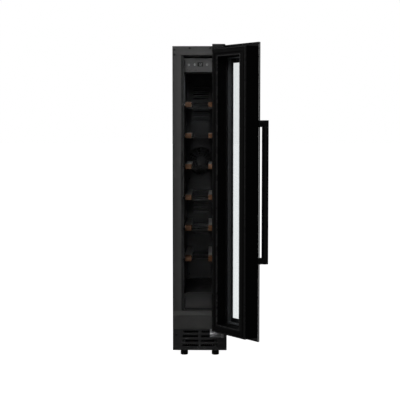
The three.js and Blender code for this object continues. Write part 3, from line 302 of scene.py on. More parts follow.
def shelf_coat():
    """Grey powder coat on the rails; the bars across under the bottles are painted near black as painted shade
    between the rails.
    """
    bar_shade_black = grey(0.006)
    rail_grey = (0.400, 0.398, 0.390)
    speck_grey = grey(0.03)
    s = Shader("shelf_grey_coat")
    beside = s.maths("ABSOLUTE", s.split()[0])
    rail = s.span(beside, SHELF_RAIL_INNER, SHELF_RAIL_INNER + 0.1 * MM)
    # Painted shade: the bars between the rails are near black.
    colour = s.blend(rail, bar_shade_black, rail_grey)
    colour = s.overlay(colour, speck_grey, s.noise(500.0, detail=2.0), 0.6, 0.75, 0.3)
    gloss = s.swing(s.noise(60.0, detail=4.0), 0.38, 0.52)
    return s.finish(colour, gloss, s.bump(s.noise(800.0), 0.3, 0.05))


def stained_wood():
    """Oiled beech: fine pores and rings drawn out along the rail, and darker end grain."""
    dark_ring = (0.170, 0.070, 0.026)
    pale_ring = (0.320, 0.145, 0.056)
    patch = (0.160, 0.073, 0.032)
    pore = (0.070, 0.028, 0.012)
    end_grain = (0.200, 0.088, 0.034)
    s = Shader("stained_beech")
    along = s.stretched((1.0, 0.07, 1.0))
    warp = s.noise(60.0, detail=4.0, source=along)
    rings = s.wave(95.0, 5.0, along, direction="DIAGONAL")
    pores = s.streaks((1500.0, 70.0, 1500.0))
    colour = s.blend(rings, dark_ring, pale_ring)
    colour = s.overlay(colour, patch, warp, 0.3, 0.7, 0.6)
    colour = s.overlay(colour, pore, pores, 0.52, 0.70, 0.65)
    facing = s.maths("ABSOLUTE", s.split(s.geometry.outputs["Normal"])[1])
    colour = s.overlay(colour, end_grain, facing, 0.6, 0.95, 0.35)
    gloss = s.span(pores, 0.4, 0.7, 0.42, 0.62)
    return s.finish(colour, gloss, s.bump(pores, 0.5, 0.12), Coat_Weight=0.15, Coat_Roughness=0.35)


def brushed(name, colour, roughness, direction=(20.0, 900.0, 900.0)):
    """Bare sheet metal with drawing lines and faint oxide clouds."""
    s = Shader(name)
    lines = s.streaks(direction)
    cloud = s.noise(45.0, detail=4.0)
    tone = s.blend(lines, scaled(colour, 0.72), scaled(colour, 1.2))
    tone = s.overlay(tone, scaled(colour, 0.6), cloud, 0.35, 0.7, 0.35)
    gloss = s.swing(lines, roughness - 0.06, roughness + 0.1)
    return s.finish(tone, gloss, s.bump(lines, 0.3, 0.03), Metallic=1.0)


def rubber(name, colour):
    """Matte elastomer with a dusty bloom, strongest on its upper faces."""
    s = Shader(name)
    grit = s.noise(1300.0, detail=3.0)
    tone = s.overlay(colour, scaled(colour, 2.2), s.noise(90.0, detail=4.0), 0.45, 0.7, 0.3)
    upward = s.split(s.geometry.outputs["Normal"])[2]
    tone = s.overlay(tone, scaled(colour, 3.0), upward, 0.7, 1.0, 0.25)
    return s.finish(tone, s.swing(grit, 0.72, 0.9), s.bump(grit, 0.4, 0.06), Specular_IOR_Level=0.2)


def clear_glass(name, tint, edge_colour):
    """A pane: see-through with a mirror sheen on its faces, and a deep tint on its ground edges."""
    dim_mirror = (0.33, 0.35, 0.39)
    bright_mirror = (0.39, 0.41, 0.44)
    s = Shader(name)
    outward = DOOR_PLACE.to_3x3() @ Vector(TO_BACK)
    facing = s.maths("ABSOLUTE", s.vector("DOT_PRODUCT", s.geometry.outputs["True Normal"], outward))
    dust = s.span(s.noise(120.0, detail=5.0), 0.5, 0.75, 0.0, 0.03)
    through = s.add("ShaderNodeBsdfTransparent")
    s.put(through.inputs["Color"], s.blend(dust, tint, scaled(tint, 0.9)))
    mirror = s.add("ShaderNodeBsdfAnisotropic")
    mirror.inputs["Roughness"].default_value = 0.03
    s.put(mirror.inputs["Color"], s.blend(s.noise(30.0), dim_mirror, bright_mirror))
    slant = s.add("ShaderNodeLayerWeight").outputs["Facing"]
    fresnel = s.span(s.maths("POWER", slant, 5.0), 0.0, 1.0, 0.03, 1.0)
    pane = s.mixed(fresnel, through, mirror)
    ground = s.noise(700.0, detail=2.0)
    s.finish(s.blend(ground, edge_colour, scaled(edge_colour, 1.5)), s.swing(ground, 0.2, 0.35))
    whole = s.mixed(s.span(facing, 0.5, 0.9), s.bsdf, pane)
    s.join(whole.outputs[0], s.output.inputs["Surface"])
    return s.material


def spacer_aluminium():
    """The sealed unit's spacer bar, with its rows of drying holes."""
    hole = (0.16, 0.16, 0.17)
    drawn = (0.45, 0.46, 0.48)
    s = Shader("perforated_spacer")
    dots = s.cells(450.0)
    colour = s.blend(s.span(dots, 0.18, 0.3, 1.0, 0.0), ALUMINIUM, hole)
    lines = s.streaks((600.0, 600.0, 30.0))
    colour = s.overlay(colour, drawn, lines, 0.4, 0.7, 0.25)
    return s.finish(colour, s.swing(lines, 0.32, 0.46), s.bump(dots, 0.3, 0.1), Metallic=0.85)


def circuit_board():
    """Green board with paler tracks and tinned pads."""
    board_green = (0.012, 0.09, 0.035)
    track_green = (0.03, 0.2, 0.08)
    tin = (0.55, 0.54, 0.5)
    s = Shader("circuit_board")
    tracks = s.cells(260.0, feature="DISTANCE_TO_EDGE")
    colour = s.blend(s.span(tracks, 0.02, 0.08, 1.0, 0.0), board_green, track_green)
    pads = s.cells(420.0)
    colour = s.blend(s.span(pads, 0.16, 0.2, 1.0, 0.0), colour, tin)
    return s.finish(colour, s.span(pads, 0.1, 0.5, 0.3, 0.5), s.bump(tracks, 0.3, 0.05))


def porous_foam():
    """Cut polyurethane foam, with painted shade in its cell pits and a painted highlight on the cell rims."""
    pit_shade = (0.45, 0.37, 0.2)
    crest_light = (0.78, 0.7, 0.46)
    patch = (0.66, 0.56, 0.34)
    s = Shader("insulation_foam")
    cell = s.cells(900.0)
    # Painted shade in the cell pits, painted highlight on the rims.
    colour = s.blend(cell, pit_shade, crest_light)
    colour = s.blend(s.noise(25.0, detail=4.0), colour, patch)
    return s.finish(colour, s.span(cell, 0.0, 0.6, 0.75, 0.95), s.bump(cell, 0.6, 0.4))


def frosted_lens():
    """Unlit ribbed lens, grey where the dark housing shows through it."""
    groove = (0.020, 0.021, 0.022)
    rib = (0.045, 0.046, 0.048)
    bloom = (0.06, 0.062, 0.065)
    s = Shader("frosted_lens")
    ribs = s.wave(260.0, 0.4, s.coords)
    frost = s.noise(1400.0, detail=2.0)
    colour = s.blend(ribs, groove, rib)
    colour = s.overlay(colour, bloom, frost, 0.4, 0.7, 0.4)
    return s.finish(colour, s.swing(frost, 0.4, 0.55), s.bump(ribs, 0.3, 0.1))


def lit_mark():
    """Pale printed touch marks with a faint glow."""
    s = Shader("printed_mark")
    grain = s.noise(2500.0, detail=2.0)
    colour = s.blend(grain, (0.5, 0.51, 0.52), (0.72, 0.73, 0.74))
    s.put(s.bsdf.inputs["Emission Color"], s.blend(grain, (0.8, 0.85, 0.9), (1.0, 1.0, 1.0)))
    s.bsdf.inputs["Emission Strength"].default_value = 0.05
    return s.finish(colour, s.swing(grain, 0.4, 0.5))


DEEP_BLACK = (0.0028, 0.0028, 0.003)
MATERIALS = {
    "cabinet_paint": coated("cabinet_black_paint", (0.016, 0.016, 0.017), 0.42, grain=700.0, depth=0.06),
    "front_flange": flange_paint(),
    "toe_plastic": coated("toe_plastic", (0.034, 0.034, 0.035), 0.5, grain=1100.0, depth=0.08),
    "liner_plastic": coated("liner_plastic", (0.030, 0.030, 0.031), 0.5, grain=1000.0, depth=0.06),
    "fascia_plastic": coated("fascia_plastic", (0.070, 0.070, 0.071), 0.3, grain=1600.0, depth=0.02),
    "circuit_board": circuit_board(),
    "light_lens": frosted_lens(),
    "foam": porous_foam(),
    "beech_wood": stained_wood(),
    "shelf_steel": shelf_coat(),
    "zinc_steel": brushed("zinc_steel", (0.55, 0.55, 0.56), 0.34),
    "black_plastic": coated("black_plastic", (0.010, 0.010, 0.0105), 0.5, grain=1200.0, depth=0.06),
    "foot_rubber": rubber("foot_rubber", grey(0.014)),
    "gasket_rubber": rubber("gasket_rubber", grey(0.004)),
    "compressor_paint": coated("compressor_enamel", (0.008, 0.008, 0.009), 0.2, grain=300.0, depth=0.1),
    "fin_aluminium": brushed("fin_aluminium", ALUMINIUM, 0.3, (900.0, 900.0, 20.0)),
    "door_outer_glass": clear_glass("door_outer_glass", (0.955, 0.965, 0.965), (0.010, 0.014, 0.014)),
    "door_inner_glass": clear_glass("door_inner_glass", (0.965, 0.975, 0.975), (0.02, 0.05, 0.045)),
    "door_black": coated("door_black_plastic", DEEP_BLACK, 0.4, grain=1300.0, depth=0.04,
                         Specular_IOR_Level=0.18),
    "handle_metal": coated("handle_black_lacquer", (0.012, 0.012, 0.0125), 0.3, grain=500.0, depth=0.04),
}
MARK_PRINT = lit_mark()
# The louvre lips are paler than the duct cover: a painted highlight for the light they catch.
LOUVRE_HIGHLIGHT_PLASTIC = coated("duct_louvre_highlight_plastic", (0.085, 0.085, 0.086), 0.45, grain=1000.0, depth=0.05)
# Glossy plastic for the door's beads, ten times paler than the door's black: a painted highlight along the window
# edge and the body's rim.
DOOR_BEAD_HIGHLIGHT = coated("door_bead_highlight_plastic", (0.030, 0.030, 0.031), 0.28, grain=900.0, depth=0.03)
BORDER_PRINT = coated("glass_black_print", (0.004, 0.004, 0.0042), 0.3, grain=2400.0, depth=0.02, wear=0.0)
# Nodes that look unlike the rest of their material slot.
OWN_LOOKS = {
    "door_spacer": spacer_aluminium(),
    "floor_cover": cover_plastic(),
    "breaker_trim": coated("breaker_trim_plastic", grey(0.024), 0.45, grain=1000.0, depth=0.05),
    # The lower panel's grey is darker than the flange paint's painted sill highlight above it: painted shade for
    # the recessed panel.
    "lower_front_panel": coated("lower_panel_shaded_paint", (0.082, 0.082, 0.080), 0.42, grain=500.0, depth=0.05),
    "grille_screw": coated("blackened_screw", grey(0.012), 0.4, grain=600.0, depth=0.05),
    "condenser": coated("condenser_black_coat", grey(0.004), 0.55, grain=500.0, depth=0.05),
}


# ---- mesh building -----------------------------------------------------------
CREASE_ANGLE = math.radians(31)
MERGE_DISTANCE = 0.004 * MM
BEVEL_ANGLE = math.radians(40)
PIECE_CREASE_ANGLE = math.radians(35)


def smooth_group():
    """A node group that joins the imported triangles and smooths them, up to a crease angle."""
    group = bpy.data.node_groups.new("smooth_by_angle", "GeometryNodeTree")
    group.interface.new_socket("Geometry", in_out="INPUT", socket_type="NodeSocketGeometry")
    group.interface.new_socket("Geometry", in_out="OUTPUT", socket_type="NodeSocketGeometry")
    nodes = group.nodes
    source = nodes.new("NodeGroupInput")
    merge = nodes.new("GeometryNodeMergeByDistance")
    merge.inputs["Distance"].default_value = MERGE_DISTANCE
    bare = nodes.new("GeometryNodeRemoveAttribute")
    bare.inputs["Name"].default_value = "custom_normal"
    faces = nodes.new("GeometryNodeSetShadeSmooth")
    faces.domain = "FACE"
    edges = nodes.new("GeometryNodeSetShadeSmooth")
    edges.domain = "EDGE"
    edges.inputs["Shade Smooth"].default_value = False
    angle = nodes.new("GeometryNodeInputMeshEdgeAngle")
    crease = nodes.new("FunctionNodeCompare")
    crease.operation = "GREATER_THAN"
    crease.inputs["B"].default_value = CREASE_ANGLE
    result = nodes.new("NodeGroupOutput")
    chain = [source, merge, bare, faces, edges, result]
    for before, after in zip(chain, chain[1:]):
        group.links.new(before.outputs[0], after.inputs[0])
    group.links.new(angle.outputs["Unsigned Angle"], crease.inputs["A"])
    group.links.new(crease.outputs[0], edges.inputs["Selection"])
    return group


SMOOTHING = smooth_group()


def soften(obj, width, segments=2):
    """Rounds an object's sharp edges."""
    bevel = obj.modifiers.new("rounded_edges", "BEVEL")
    bevel.width = width
    bevel.segments = segments
    bevel.limit_method = "ANGLE"
    bevel.angle_limit = BEVEL_ANGLE
    bevel.harden_normals = True


def new_piece(name, bm, body, material, place=None):
    """Turns a bmesh into a named piece that rides on a body."""
    bmesh.ops.recalc_face_normals(bm, faces=bm.faces)
    if place is not None:
        bm.transform(place)
    mesh = bpy.data.meshes.new(name)
    bm.to_mesh(mesh)
    bm.free()
    mesh.materials.append(material)
    obj = bpy.data.objects.new(name, mesh)
    bpy.context.scene.collection.objects.link(obj)
    for polygon in mesh.polygons:
        polygon.use_smooth = True
    mesh.set_sharp_from_angle(angle=PIECE_CREASE_ANGLE)
    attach(obj, body)
    return obj


def slot_piece(name, bm, body, slot, place=None):
    """A piece that wears its material slot's usual look."""
    return new_piece(name, bm, body, MATERIALS[slot], place)


def add_box(bm, low, high, radius=0.0):
    """Adds a box, with rounded edges if a radius is given, to a bmesh."""
    corners = bmesh.ops.create_cube(bm, size=1.0)["verts"]
    size = Vector(high) - Vector(low)
    middle = (Vector(high) + Vector(low)) / 2
    for vertex in corners:
        vertex.co = middle + Vector(a * b for a, b in zip(vertex.co, size))
    if radius:
        edges = list({edge for vertex in corners for edge in vertex.link_edges})
        bmesh.ops.bevel(bm, geom=edges, offset=radius, segments=2, profile=0.5, affect="EDGES")


def add_lathe(bm, profile, place, segments):
    """Adds a profile of (radius, height) turned about Z and put in place."""
    turns = [2 * math.pi * i / segments for i in range(segments)]
    rings = []
    for radius, height in profile:
        if radius == 0:
            rings.append([bm.verts.new(place @ Vector((0, 0, height)))])
            continue
        ring = [Vector((radius * math.cos(t), radius * math.sin(t), height)) for t in turns]
        rings.append([bm.verts.new(place @ point) for point in ring])
    for lower, upper in zip(rings, rings[1:]):
        for i in range(segments):
            j = (i + 1) % segments
            corners = [lower[i % len(lower)], lower[j % len(lower)]]
            corners += [upper[j % len(upper)], upper[i % len(upper)]]
            bm.faces.new(list(dict.fromkeys(corners)))


def add_sweep(bm, sections, closed=True):
    """Joins equal closed rows of points, one row for each station on a closed or open path."""
    rows = [[bm.verts.new(p) for p in row] for row in sections]
    count = len(rows[0])
    stations = len(rows)
    for i in range(stations if closed else stations - 1):
        a, b = rows[i], rows[(i + 1) % stations]
        for j in range(count):
            k = (j + 1) % count
            bm.faces.new([a[j], a[k], b[k], b[j]])
    if not closed:
        bm.faces.new(rows[0][::-1])
        bm.faces.new(rows[-1])


def rounded_loop(low, high, radius, steps=6):
    """Points and outward directions round a rectangle with rounded corners, in X and Z."""
    left, bottom = low[0] + radius, low[1] + radius
    right, top = high[0] - radius, high[1] - radius
    loop = []
    for x, z, start in ((right, top, 0), (left, top, 90), (left, bottom, 180), (right, bottom, 270)):
        for step in range(steps + 1):
            turn = math.radians(start + 90 * step / steps)
            out = Vector((math.cos(turn), 0, math.sin(turn)))
            loop.append((Vector((x, 0, z)) + out * radius, out))
    return loop


def add_ring(bm, low, high, section, radius, steps):
    """Sweeps a section of (outward, y) points round a rounded rectangle."""
    loop = rounded_loop(low, high, radius, steps)
    add_sweep(bm, [[p + out * a + Vector((0, y, 0)) for a, y in section] for p, out in loop])


def in_metres(outline, size=1.0, start=0.0):
    """An outline written in millimetres, scaled and moved along its second axis."""
    return [(a * MM * size, start + b * MM * size) for a, b in outline]


def toward(axis):
    """A matrix that turns +Z to the given direction."""
    return Vector(axis).to_track_quat("Z", "Y").to_matrix().to_4x4()


SCREW_HEAD = [
    (0, 0.55), (0.35, 0.5), (0.8, 0.85), (1.6, 1.15), (2.3, 0.95), (2.9, 0.45), (3.1, 0.0), (0, 0)]
SCREW_CROSS_LOW = Vector((-1.3, -0.25, 0.5)) * MM
SCREW_CROSS_HIGH = Vector((1.3, 0.25, 1.02)) * MM


def add_screw(bm, place, axis, size=1.0):
    """A pan head with a raised cross in its dished recess."""
    matrix = Matrix.Translation(place) @ toward(axis)
    add_lathe(bm, in_metres(SCREW_HEAD, size), matrix, segments=16)
    for turn in (0, 90):
        arm = Matrix.Rotation(math.radians(turn), 4, "Z")
        bar = bmesh.new()
        add_box(bar, SCREW_CROSS_LOW * size, SCREW_CROSS_HIGH * size)
        bar.transform(matrix @ arm)
        mesh = bpy.data.meshes.new("arm")
        bar.to_mesh(mesh)
        bar.free()
        bm.from_mesh(mesh)
        bpy.data.meshes.remove(mesh)


# ---- cabinet pieces --------------------------------------------------------------
PLUG_PROFILE = [
    (0, 0.7), (1.2, 0.62), (2.2, 0.4), (2.9, 0.12), (3.0, 0), (1.9, 0), (1.7, -2.6), (0, -2.6)]
SIDE_PLUG_INSET = 5.3 * MM
SIDE_PLUG_DROPS = (9.1 * MM, 22.8 * MM)
TOP_PLUG_DROP = 5.2 * MM
TOP_PLUG_X = (-27.1 * MM, 28 * MM)


def spare_hole_plugs():
    """Domed plugs in the flange's unused hinge holes."""
    top = FLANGE_HIGH.z
    places = [(FLANGE_LOW.x + SIDE_PLUG_INSET, top - drop) for drop in SIDE_PLUG_DROPS]
    places += [(x, top - TOP_PLUG_DROP) for x in TOP_PLUG_X]
    bm = bmesh.new()
    for x, z in places:
        matrix = Matrix.Translation((x, FRONT, z)) @ toward(TO_FRONT)
        add_lathe(bm, in_metres(PLUG_PROFILE), matrix, segments=20)
    slot_piece("flange_plugs", bm, "cabinet", "black_plastic")


MARK_RAISE = 0.15 * MM
MARK_STROKE = 0.6 * MM
ARROW_STROKE = 0.8 * MM
ARROW_SIZE = 2.2 * MM
MARKS_LIFT = 1.5 * MM
POWER_X = -29.5 * MM
POWER_RADIUS = 2.6 * MM
POWER_DROP = 1 * MM
LAMP_X = 19.5 * MM
LAMP_RADIUS = 2.7 * MM
ARROWS_X = -14 * MM
ARROW_UP_LIFT = 1.6 * MM
ARROW_DOWN_DROP = 1.8 * MM
DIGITS = (("1", -3.5 * MM), ("2", 2.0 * MM))
DIGIT_HEIGHT = 6.5 * MM
DIGIT_DROP = 3 * MM
DIGIT_BARS = {"1": "bc", "2": "abged"}
WINDOW_RAISE = 0.3 * MM
WINDOW_LEFT, WINDOW_RIGHT = -6.5 * MM, 8.5 * MM
WINDOW_DROP, WINDOW_LIFT = 5 * MM, 6 * MM


def power_mark(bm, x, y, z, radius):
    """An open ring with an upright bar through its gap."""
    inner = radius - MARK_STROKE
    section = ((radius, 0), (radius, -MARK_RAISE), (inner, -MARK_RAISE), (inner, 0))
    steps = 20
    rows = []
    for step in range(steps + 1):
        turn = math.radians(120 + 300 * step / steps)
        rows.append([Vector((x + r * math.cos(turn), y + d, z + r * math.sin(turn))) for r, d in section])
    add_sweep(bm, rows, closed=False)
    half = MARK_STROKE / 2
    add_box(bm, (x - half, y - MARK_RAISE, z + radius * 0.2), (x + half, y, z + radius * 1.1))


def arrow_mark(bm, x, y, z, size, way):
    """A flat chevron pointing up or down."""
    for side in (-1, 1):
        tip = Vector((x, y, z + way * size * 0.5))
        end = Vector((x + side * size, y, z - way * size * 0.5))
        across = (end - tip).normalized().cross(Vector(TO_BACK)) * ARROW_STROKE / 2
        front = Vector(TO_FRONT) * MARK_RAISE
        rows = [[p - across, p + across, p + across + front, p - across + front] for p in (tip, end)]
        add_sweep(bm, rows, closed=False)


def digit_mark(bm, digit, x, y, z, height):
    """A seven-segment digit."""
    half = height / 2
    width = height * 0.5
    thick = height * 0.09
    bars = {
        "a": ((0, height), (width, height)), "b": ((width, half), (width, height)),
        "c": ((width, 0), (width, half)), "d": ((0, 0), (width, 0)),
        "e": ((0, 0), (0, half)), "g": ((0, half), (width, half))}
    for key in DIGIT_BARS[digit]:
        (x0, z0), (x1, z1) = bars[key]
        add_box(bm, (x + x0 - thick / 2, y - MARK_RAISE, z + z0 - thick / 2),
                (x + x1 + thick / 2, y, z + z1 + thick / 2))


def fascia_marks():
    """Touch marks and a small temperature readout on the control fascia."""
    low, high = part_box("control_fascia")
    y = low.y
    middle = (low.z + high.z) / 2 + MARKS_LIFT
    bm = bmesh.new()
    power_mark(bm, POWER_X, y, middle - POWER_DROP, POWER_RADIUS)
    power_mark(bm, LAMP_X, y, middle, LAMP_RADIUS)
    arrow_mark(bm, ARROWS_X, y, middle + ARROW_UP_LIFT, ARROW_SIZE, 1)
    arrow_mark(bm, ARROWS_X, y, middle - ARROW_DOWN_DROP, ARROW_SIZE, -1)
    new_piece("fascia_marks", bm, "cabinet", MARK_PRINT)
    bm = bmesh.new()
    for digit, x in DIGITS:
        digit_mark(bm, digit, x, y - WINDOW_RAISE, middle - DIGIT_DROP, DIGIT_HEIGHT)
    new_piece("fascia_digits", bm, "cabinet", MARK_PRINT)
    bm = bmesh.new()
    add_box(bm, (WINDOW_LEFT, y - WINDOW_RAISE, middle - WINDOW_DROP),
            (WINDOW_RIGHT, y, middle + WINDOW_LIFT), radius=0.1 * MM)
    new_piece("fascia_window", bm, "cabinet", MATERIALS["door_black"])


GUARD_RADII = (18.0 * MM, 25.5 * MM, 33.0 * MM, 41.5 * MM)
GUARD_WIRE = 0.9 * MM
GUARD_STEPS = 48
GUARD_SIDES = 6


def fan_guard():
    """Round wires over the duct cover's fan opening."""
    fan_low, fan_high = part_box("fan_frame")
    centre = Vector((0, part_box("rear_duct_cover")[0].y - GUARD_WIRE, (fan_low.z + fan_high.z) / 2))
    back = Vector(TO_BACK)
    around = [2 * math.pi * k / GUARD_SIDES for k in range(GUARD_SIDES)]
    bm = bmesh.new()
    for radius in GUARD_RADII:
        rows = []
        for i in range(GUARD_STEPS):
            turn = 2 * math.pi * i / GUARD_STEPS
            out = Vector((math.cos(turn), 0, math.sin(turn)))
            middle = centre + out * radius
            rows.append([middle + (out * math.cos(a) + back * math.sin(a)) * GUARD_WIRE for a in around])
        add_sweep(bm, rows)
    slot_piece("fan_guard_rings", bm, "cabinet", "liner_plastic")


DUCT_SLOT_HALF = 22.5 * MM
DUCT_SLOT_PITCH = 12.6 * MM
# Height of each group's lowest slot, and how many slots it has.
DUCT_SLOT_GROUPS = ((630.5 * MM, 9), (355.5 * MM, 6), (291.5 * MM, 3))
LOUVRE_SECTION = [(0.3, -0.6), (-1.3, -0.4), (-1.6, 0.4), (-0.2, 3.6), (0.3, 3.8)]


def duct_louvres():
    """A sloping lip under each air slot of the rear duct cover."""
    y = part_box("rear_duct_cover")[0].y
    bm = bmesh.new()
    for base, count in DUCT_SLOT_GROUPS:
        for i in range(count):
            z = base + i * DUCT_SLOT_PITCH
            rows = [[Vector((side * DUCT_SLOT_HALF, y + d * MM, z + h * MM)) for d, h in LOUVRE_SECTION]
                    for side in (-1, 1)]
            add_sweep(bm, rows, closed=False)
    new_piece("duct_louvres", bm, "cabinet", LOUVRE_HIGHLIGHT_PLASTIC)


DUCT_SCREW_X = 36 * MM
DUCT_SCREW_FOOT = 12 * MM
DUCT_SCREW_MIDDLE = 300 * MM
DUCT_SCREW_TOP = 60 * MM
REAR_SCREW_X = 66 * MM
REAR_SCREW_HEIGHTS = (0.17, 0.37, 0.57, 0.77, 0.97)
LOWER_HINGE_SCREW_X = (34 * MM, 47 * MM)
LOWER_HINGE_SCREW_DROP = 5.2 * MM
LOWER_HINGE_LEAF = 2.8 * MM


def screw_set(name, places, axis, material="zinc_steel", size=1.0):
    """Equal screws at several places, as one piece."""
    bm = bmesh.new()
    for place in places:
        add_screw(bm, Vector(place), axis, size)
    slot_piece(name, bm, "cabinet", material)


def cabinet_screws():
    """Fixings of the duct cover, the rear panel and the lower hinge."""
    low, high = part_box("rear_duct_cover")
    heights = (low.z + DUCT_SCREW_FOOT, high.z - DUCT_SCREW_TOP, low.z + DUCT_SCREW_MIDDLE)
    places = [(side * DUCT_SCREW_X, low.y, z) for side in (-1, 1) for z in heights]
    screw_set("duct_cover_screws", places, TO_FRONT, material="black_plastic", size=0.9)
    low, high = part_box("rear_panel")
    heights = [low.z + (high.z - low.z) * share for share in REAR_SCREW_HEIGHTS]
    places = [(side * REAR_SCREW_X, high.y, z) for side in (-1, 1) for z in heights]
    screw_set("rear_panel_screws", places, TO_BACK)
    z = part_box("hinge_bracket_bottom")[1].z - LOWER_HINGE_SCREW_DROP
    places = [(x, FRONT - LOWER_HINGE_LEAF, z) for x in LOWER_HINGE_SCREW_X]
    screw_set("lower_hinge_screws", places, TO_FRONT, size=1.1)


VENT_ROWS = 5
VENT_FIRST = 66.2 * MM
VENT_PITCH = 11 * MM
VENT_HALF = 42 * MM
VENT_END = 1.5 * MM
VENT_PROUD = 1.1
VENT_END_PROUD = 0.2
# How far out, as a share of the lip's reach, and how high in millimetres.
VENT_SECTION = ((0, 0), (1, -1.4), (1, -1.9), (0.7, -1.9), (0.55, -1.2), (0, 0.9))


def vent_hoods():
    """Pressed lips over the rear panel's air slots."""
    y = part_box("rear_panel")[1].y
    inner = VENT_HALF - VENT_END
    stations = ((-VENT_HALF, VENT_END_PROUD), (-inner, VENT_PROUD),
                (inner, VENT_PROUD), (VENT_HALF, VENT_END_PROUD))
    bm = bmesh.new()
    for row in range(VENT_ROWS):
        z = VENT_FIRST + row * VENT_PITCH
        rows = [[Vector((x, y + d * proud * MM, z + h * MM)) for d, h in VENT_SECTION]
                for x, proud in stations]
        add_sweep(bm, rows, closed=False)
    slot_piece("rear_vent_hoods", bm, "cabinet", "cabinet_paint")


# ---- feet ---------------------------------------------------------------------------
PAD_RIBS = 3
PAD_RIB_PITCH = 3.0 * MM
PAD_RIB_FIRST = 1.6 * MM
PAD_RIB_WIDTH = 1.6 * MM
PAD_RIB_DEPTH = 0.7 * MM
PAD_HEIGHT = 12.0 * MM
PAD_DOME = 0.2 * MM
HEX_SHARE = 0.72
HEX_CHAMFER = 0.6 * MM
HEX_TOP = -0.4 * MM
STUD_CORE = 3.3 * MM
STUD_CREST = 3.95 * MM
THREAD_START = -0.5 * MM
THREAD_PITCH = 1.5 * MM
THREAD_TURNS = 16


def add_hex(bm, radius, low, high, place):
    """A hexagonal collar with chamfered ends."""
    waist = radius * 0.94
    ends = ((low, waist), (low + HEX_CHAMFER, radius), (high - HEX_CHAMFER, radius), (high, waist))
    turns = [math.radians(60 * i + 30) for i in range(6)]
    rows = [[place @ Vector((r * math.cos(t), r * math.sin(t), z)) for t in turns] for z, r in ends]
    add_sweep(bm, rows, closed=False)


def pad_profile(radius):
    """The rubber pad's outline: a rounded foot, three ribs and a sloped top."""
    profile = [(0, 0), (radius - 1.4 * MM, 0), (radius - 0.3 * MM, 0.8 * MM)]
    for i in range(PAD_RIBS):
        z = PAD_RIB_FIRST + i * PAD_RIB_PITCH
        top = z + PAD_RIB_WIDTH
        profile += [(radius, z), (radius, top), (radius - PAD_RIB_DEPTH, top + 0.4 * MM)]
    profile += [(radius - 0.9 * MM, 10.8 * MM), (radius - 2 * MM, PAD_HEIGHT - PAD_DOME), (0, PAD_HEIGHT)]
    return profile


def stud_profile():
    """The stud's outline, with a V thread."""
    profile = [(0, THREAD_START - 0.1 * MM)]
    for i in range(THREAD_TURNS):
        z = THREAD_START + i * THREAD_PITCH
        profile += [(STUD_CORE, z), (STUD_CREST, z + THREAD_PITCH / 2)]
    end = THREAD_START + THREAD_TURNS * THREAD_PITCH
    return profile + [(STUD_CORE, end + 0.1 * MM), (0, end + 0.4 * MM)]


def levelling_foot(node):
    """A ribbed rubber pad, a hexagon collar and a threaded stud."""
    low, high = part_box(node)
    place = Matrix.Translation(((low.x + high.x) / 2, (low.y + high.y) / 2, 0))
    radius = (high.x - low.x) / 2
    bm = bmesh.new()
    add_lathe(bm, [(r, low.z + z) for r, z in pad_profile(radius)], place, segments=32)
    pad = slot_piece(node + "_pad", bm, node, "foot_rubber")
    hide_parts(node)
    bm = bmesh.new()
    add_hex(bm, radius * HEX_SHARE, low.z + PAD_HEIGHT - PAD_DOME, HEX_TOP, place)
    add_lathe(bm, stud_profile(), place, segments=20)
    slot_piece(node + "_stud", bm, node, "zinc_steel")


# ---- door pieces --------------------------------------------------------------------
GLASS_LOW, GLASS_HIGH = door_box("door_glass_outer")
BODY_LOW, BODY_HIGH = door_box("door_frame")
PANE_LOW, PANE_HIGH = door_box("door_glass_inner")
REBATE = 3.7 * MM
WINDOW_LOW = (PANE_LOW.x + REBATE, PANE_LOW.z + REBATE)
WINDOW_HIGH = (PANE_HIGH.x - REBATE, PANE_HIGH.z - REBATE)
CLEAR_INSET = 14 * MM
CLEAR_END = 17 * MM
CLEAR_RADIUS = 0.8 * MM
BORDER_EDGE = 0.4 * MM
BORDER_RADIUS = 2 * MM
BORDER_NEAR = 0.06 * MM
BORDER_FAR = 0.2 * MM


def border_print():
    """The black border printed behind the outer glass, with slightly rounded inner corners."""
    y = GLASS_HIGH.y
    outer = rounded_loop((GLASS_LOW.x + BORDER_EDGE, GLASS_LOW.z + BORDER_EDGE),
                         (GLASS_HIGH.x - BORDER_EDGE, GLASS_HIGH.z - BORDER_EDGE), BORDER_RADIUS)
    inner = rounded_loop((WINDOW_LOW[0] + CLEAR_INSET, WINDOW_LOW[1] + CLEAR_END),
                         (WINDOW_HIGH[0] - CLEAR_INSET, WINDOW_HIGH[1] - CLEAR_END), CLEAR_RADIUS)
    near, far = Vector((0, y + BORDER_NEAR, 0)), Vector((0, y + BORDER_FAR, 0))
    bm = bmesh.new()
    add_sweep(bm, [[p + near, q + near, q + far, p + far] for (p, _), (q, _) in zip(outer, inner)])
    new_piece("door_border_print", bm, "door", BORDER_PRINT, DOOR_PLACE)


def window_bead():
    """A rounded bead round the window on the room side of the door body."""
    section = [
        (-0.2, -2.2), (-0.7, -1.2), (-0.7, -0.1), (-0.2, 0.5), (0.6, 0.75), (1.6, 0.6), (2.3, 0.0),
        (1.2, -0.6)]
    bm = bmesh.new()
    add_ring(bm, WINDOW_LOW, WINDOW_HIGH, in_metres(section, start=BODY_HIGH.y), radius=1.2 * MM, steps=3)
    # The bead's paler plastic is a painted highlight line.
    new_piece("door_window_bead", bm, "door", DOOR_BEAD_HIGHLIGHT, DOOR_PLACE)


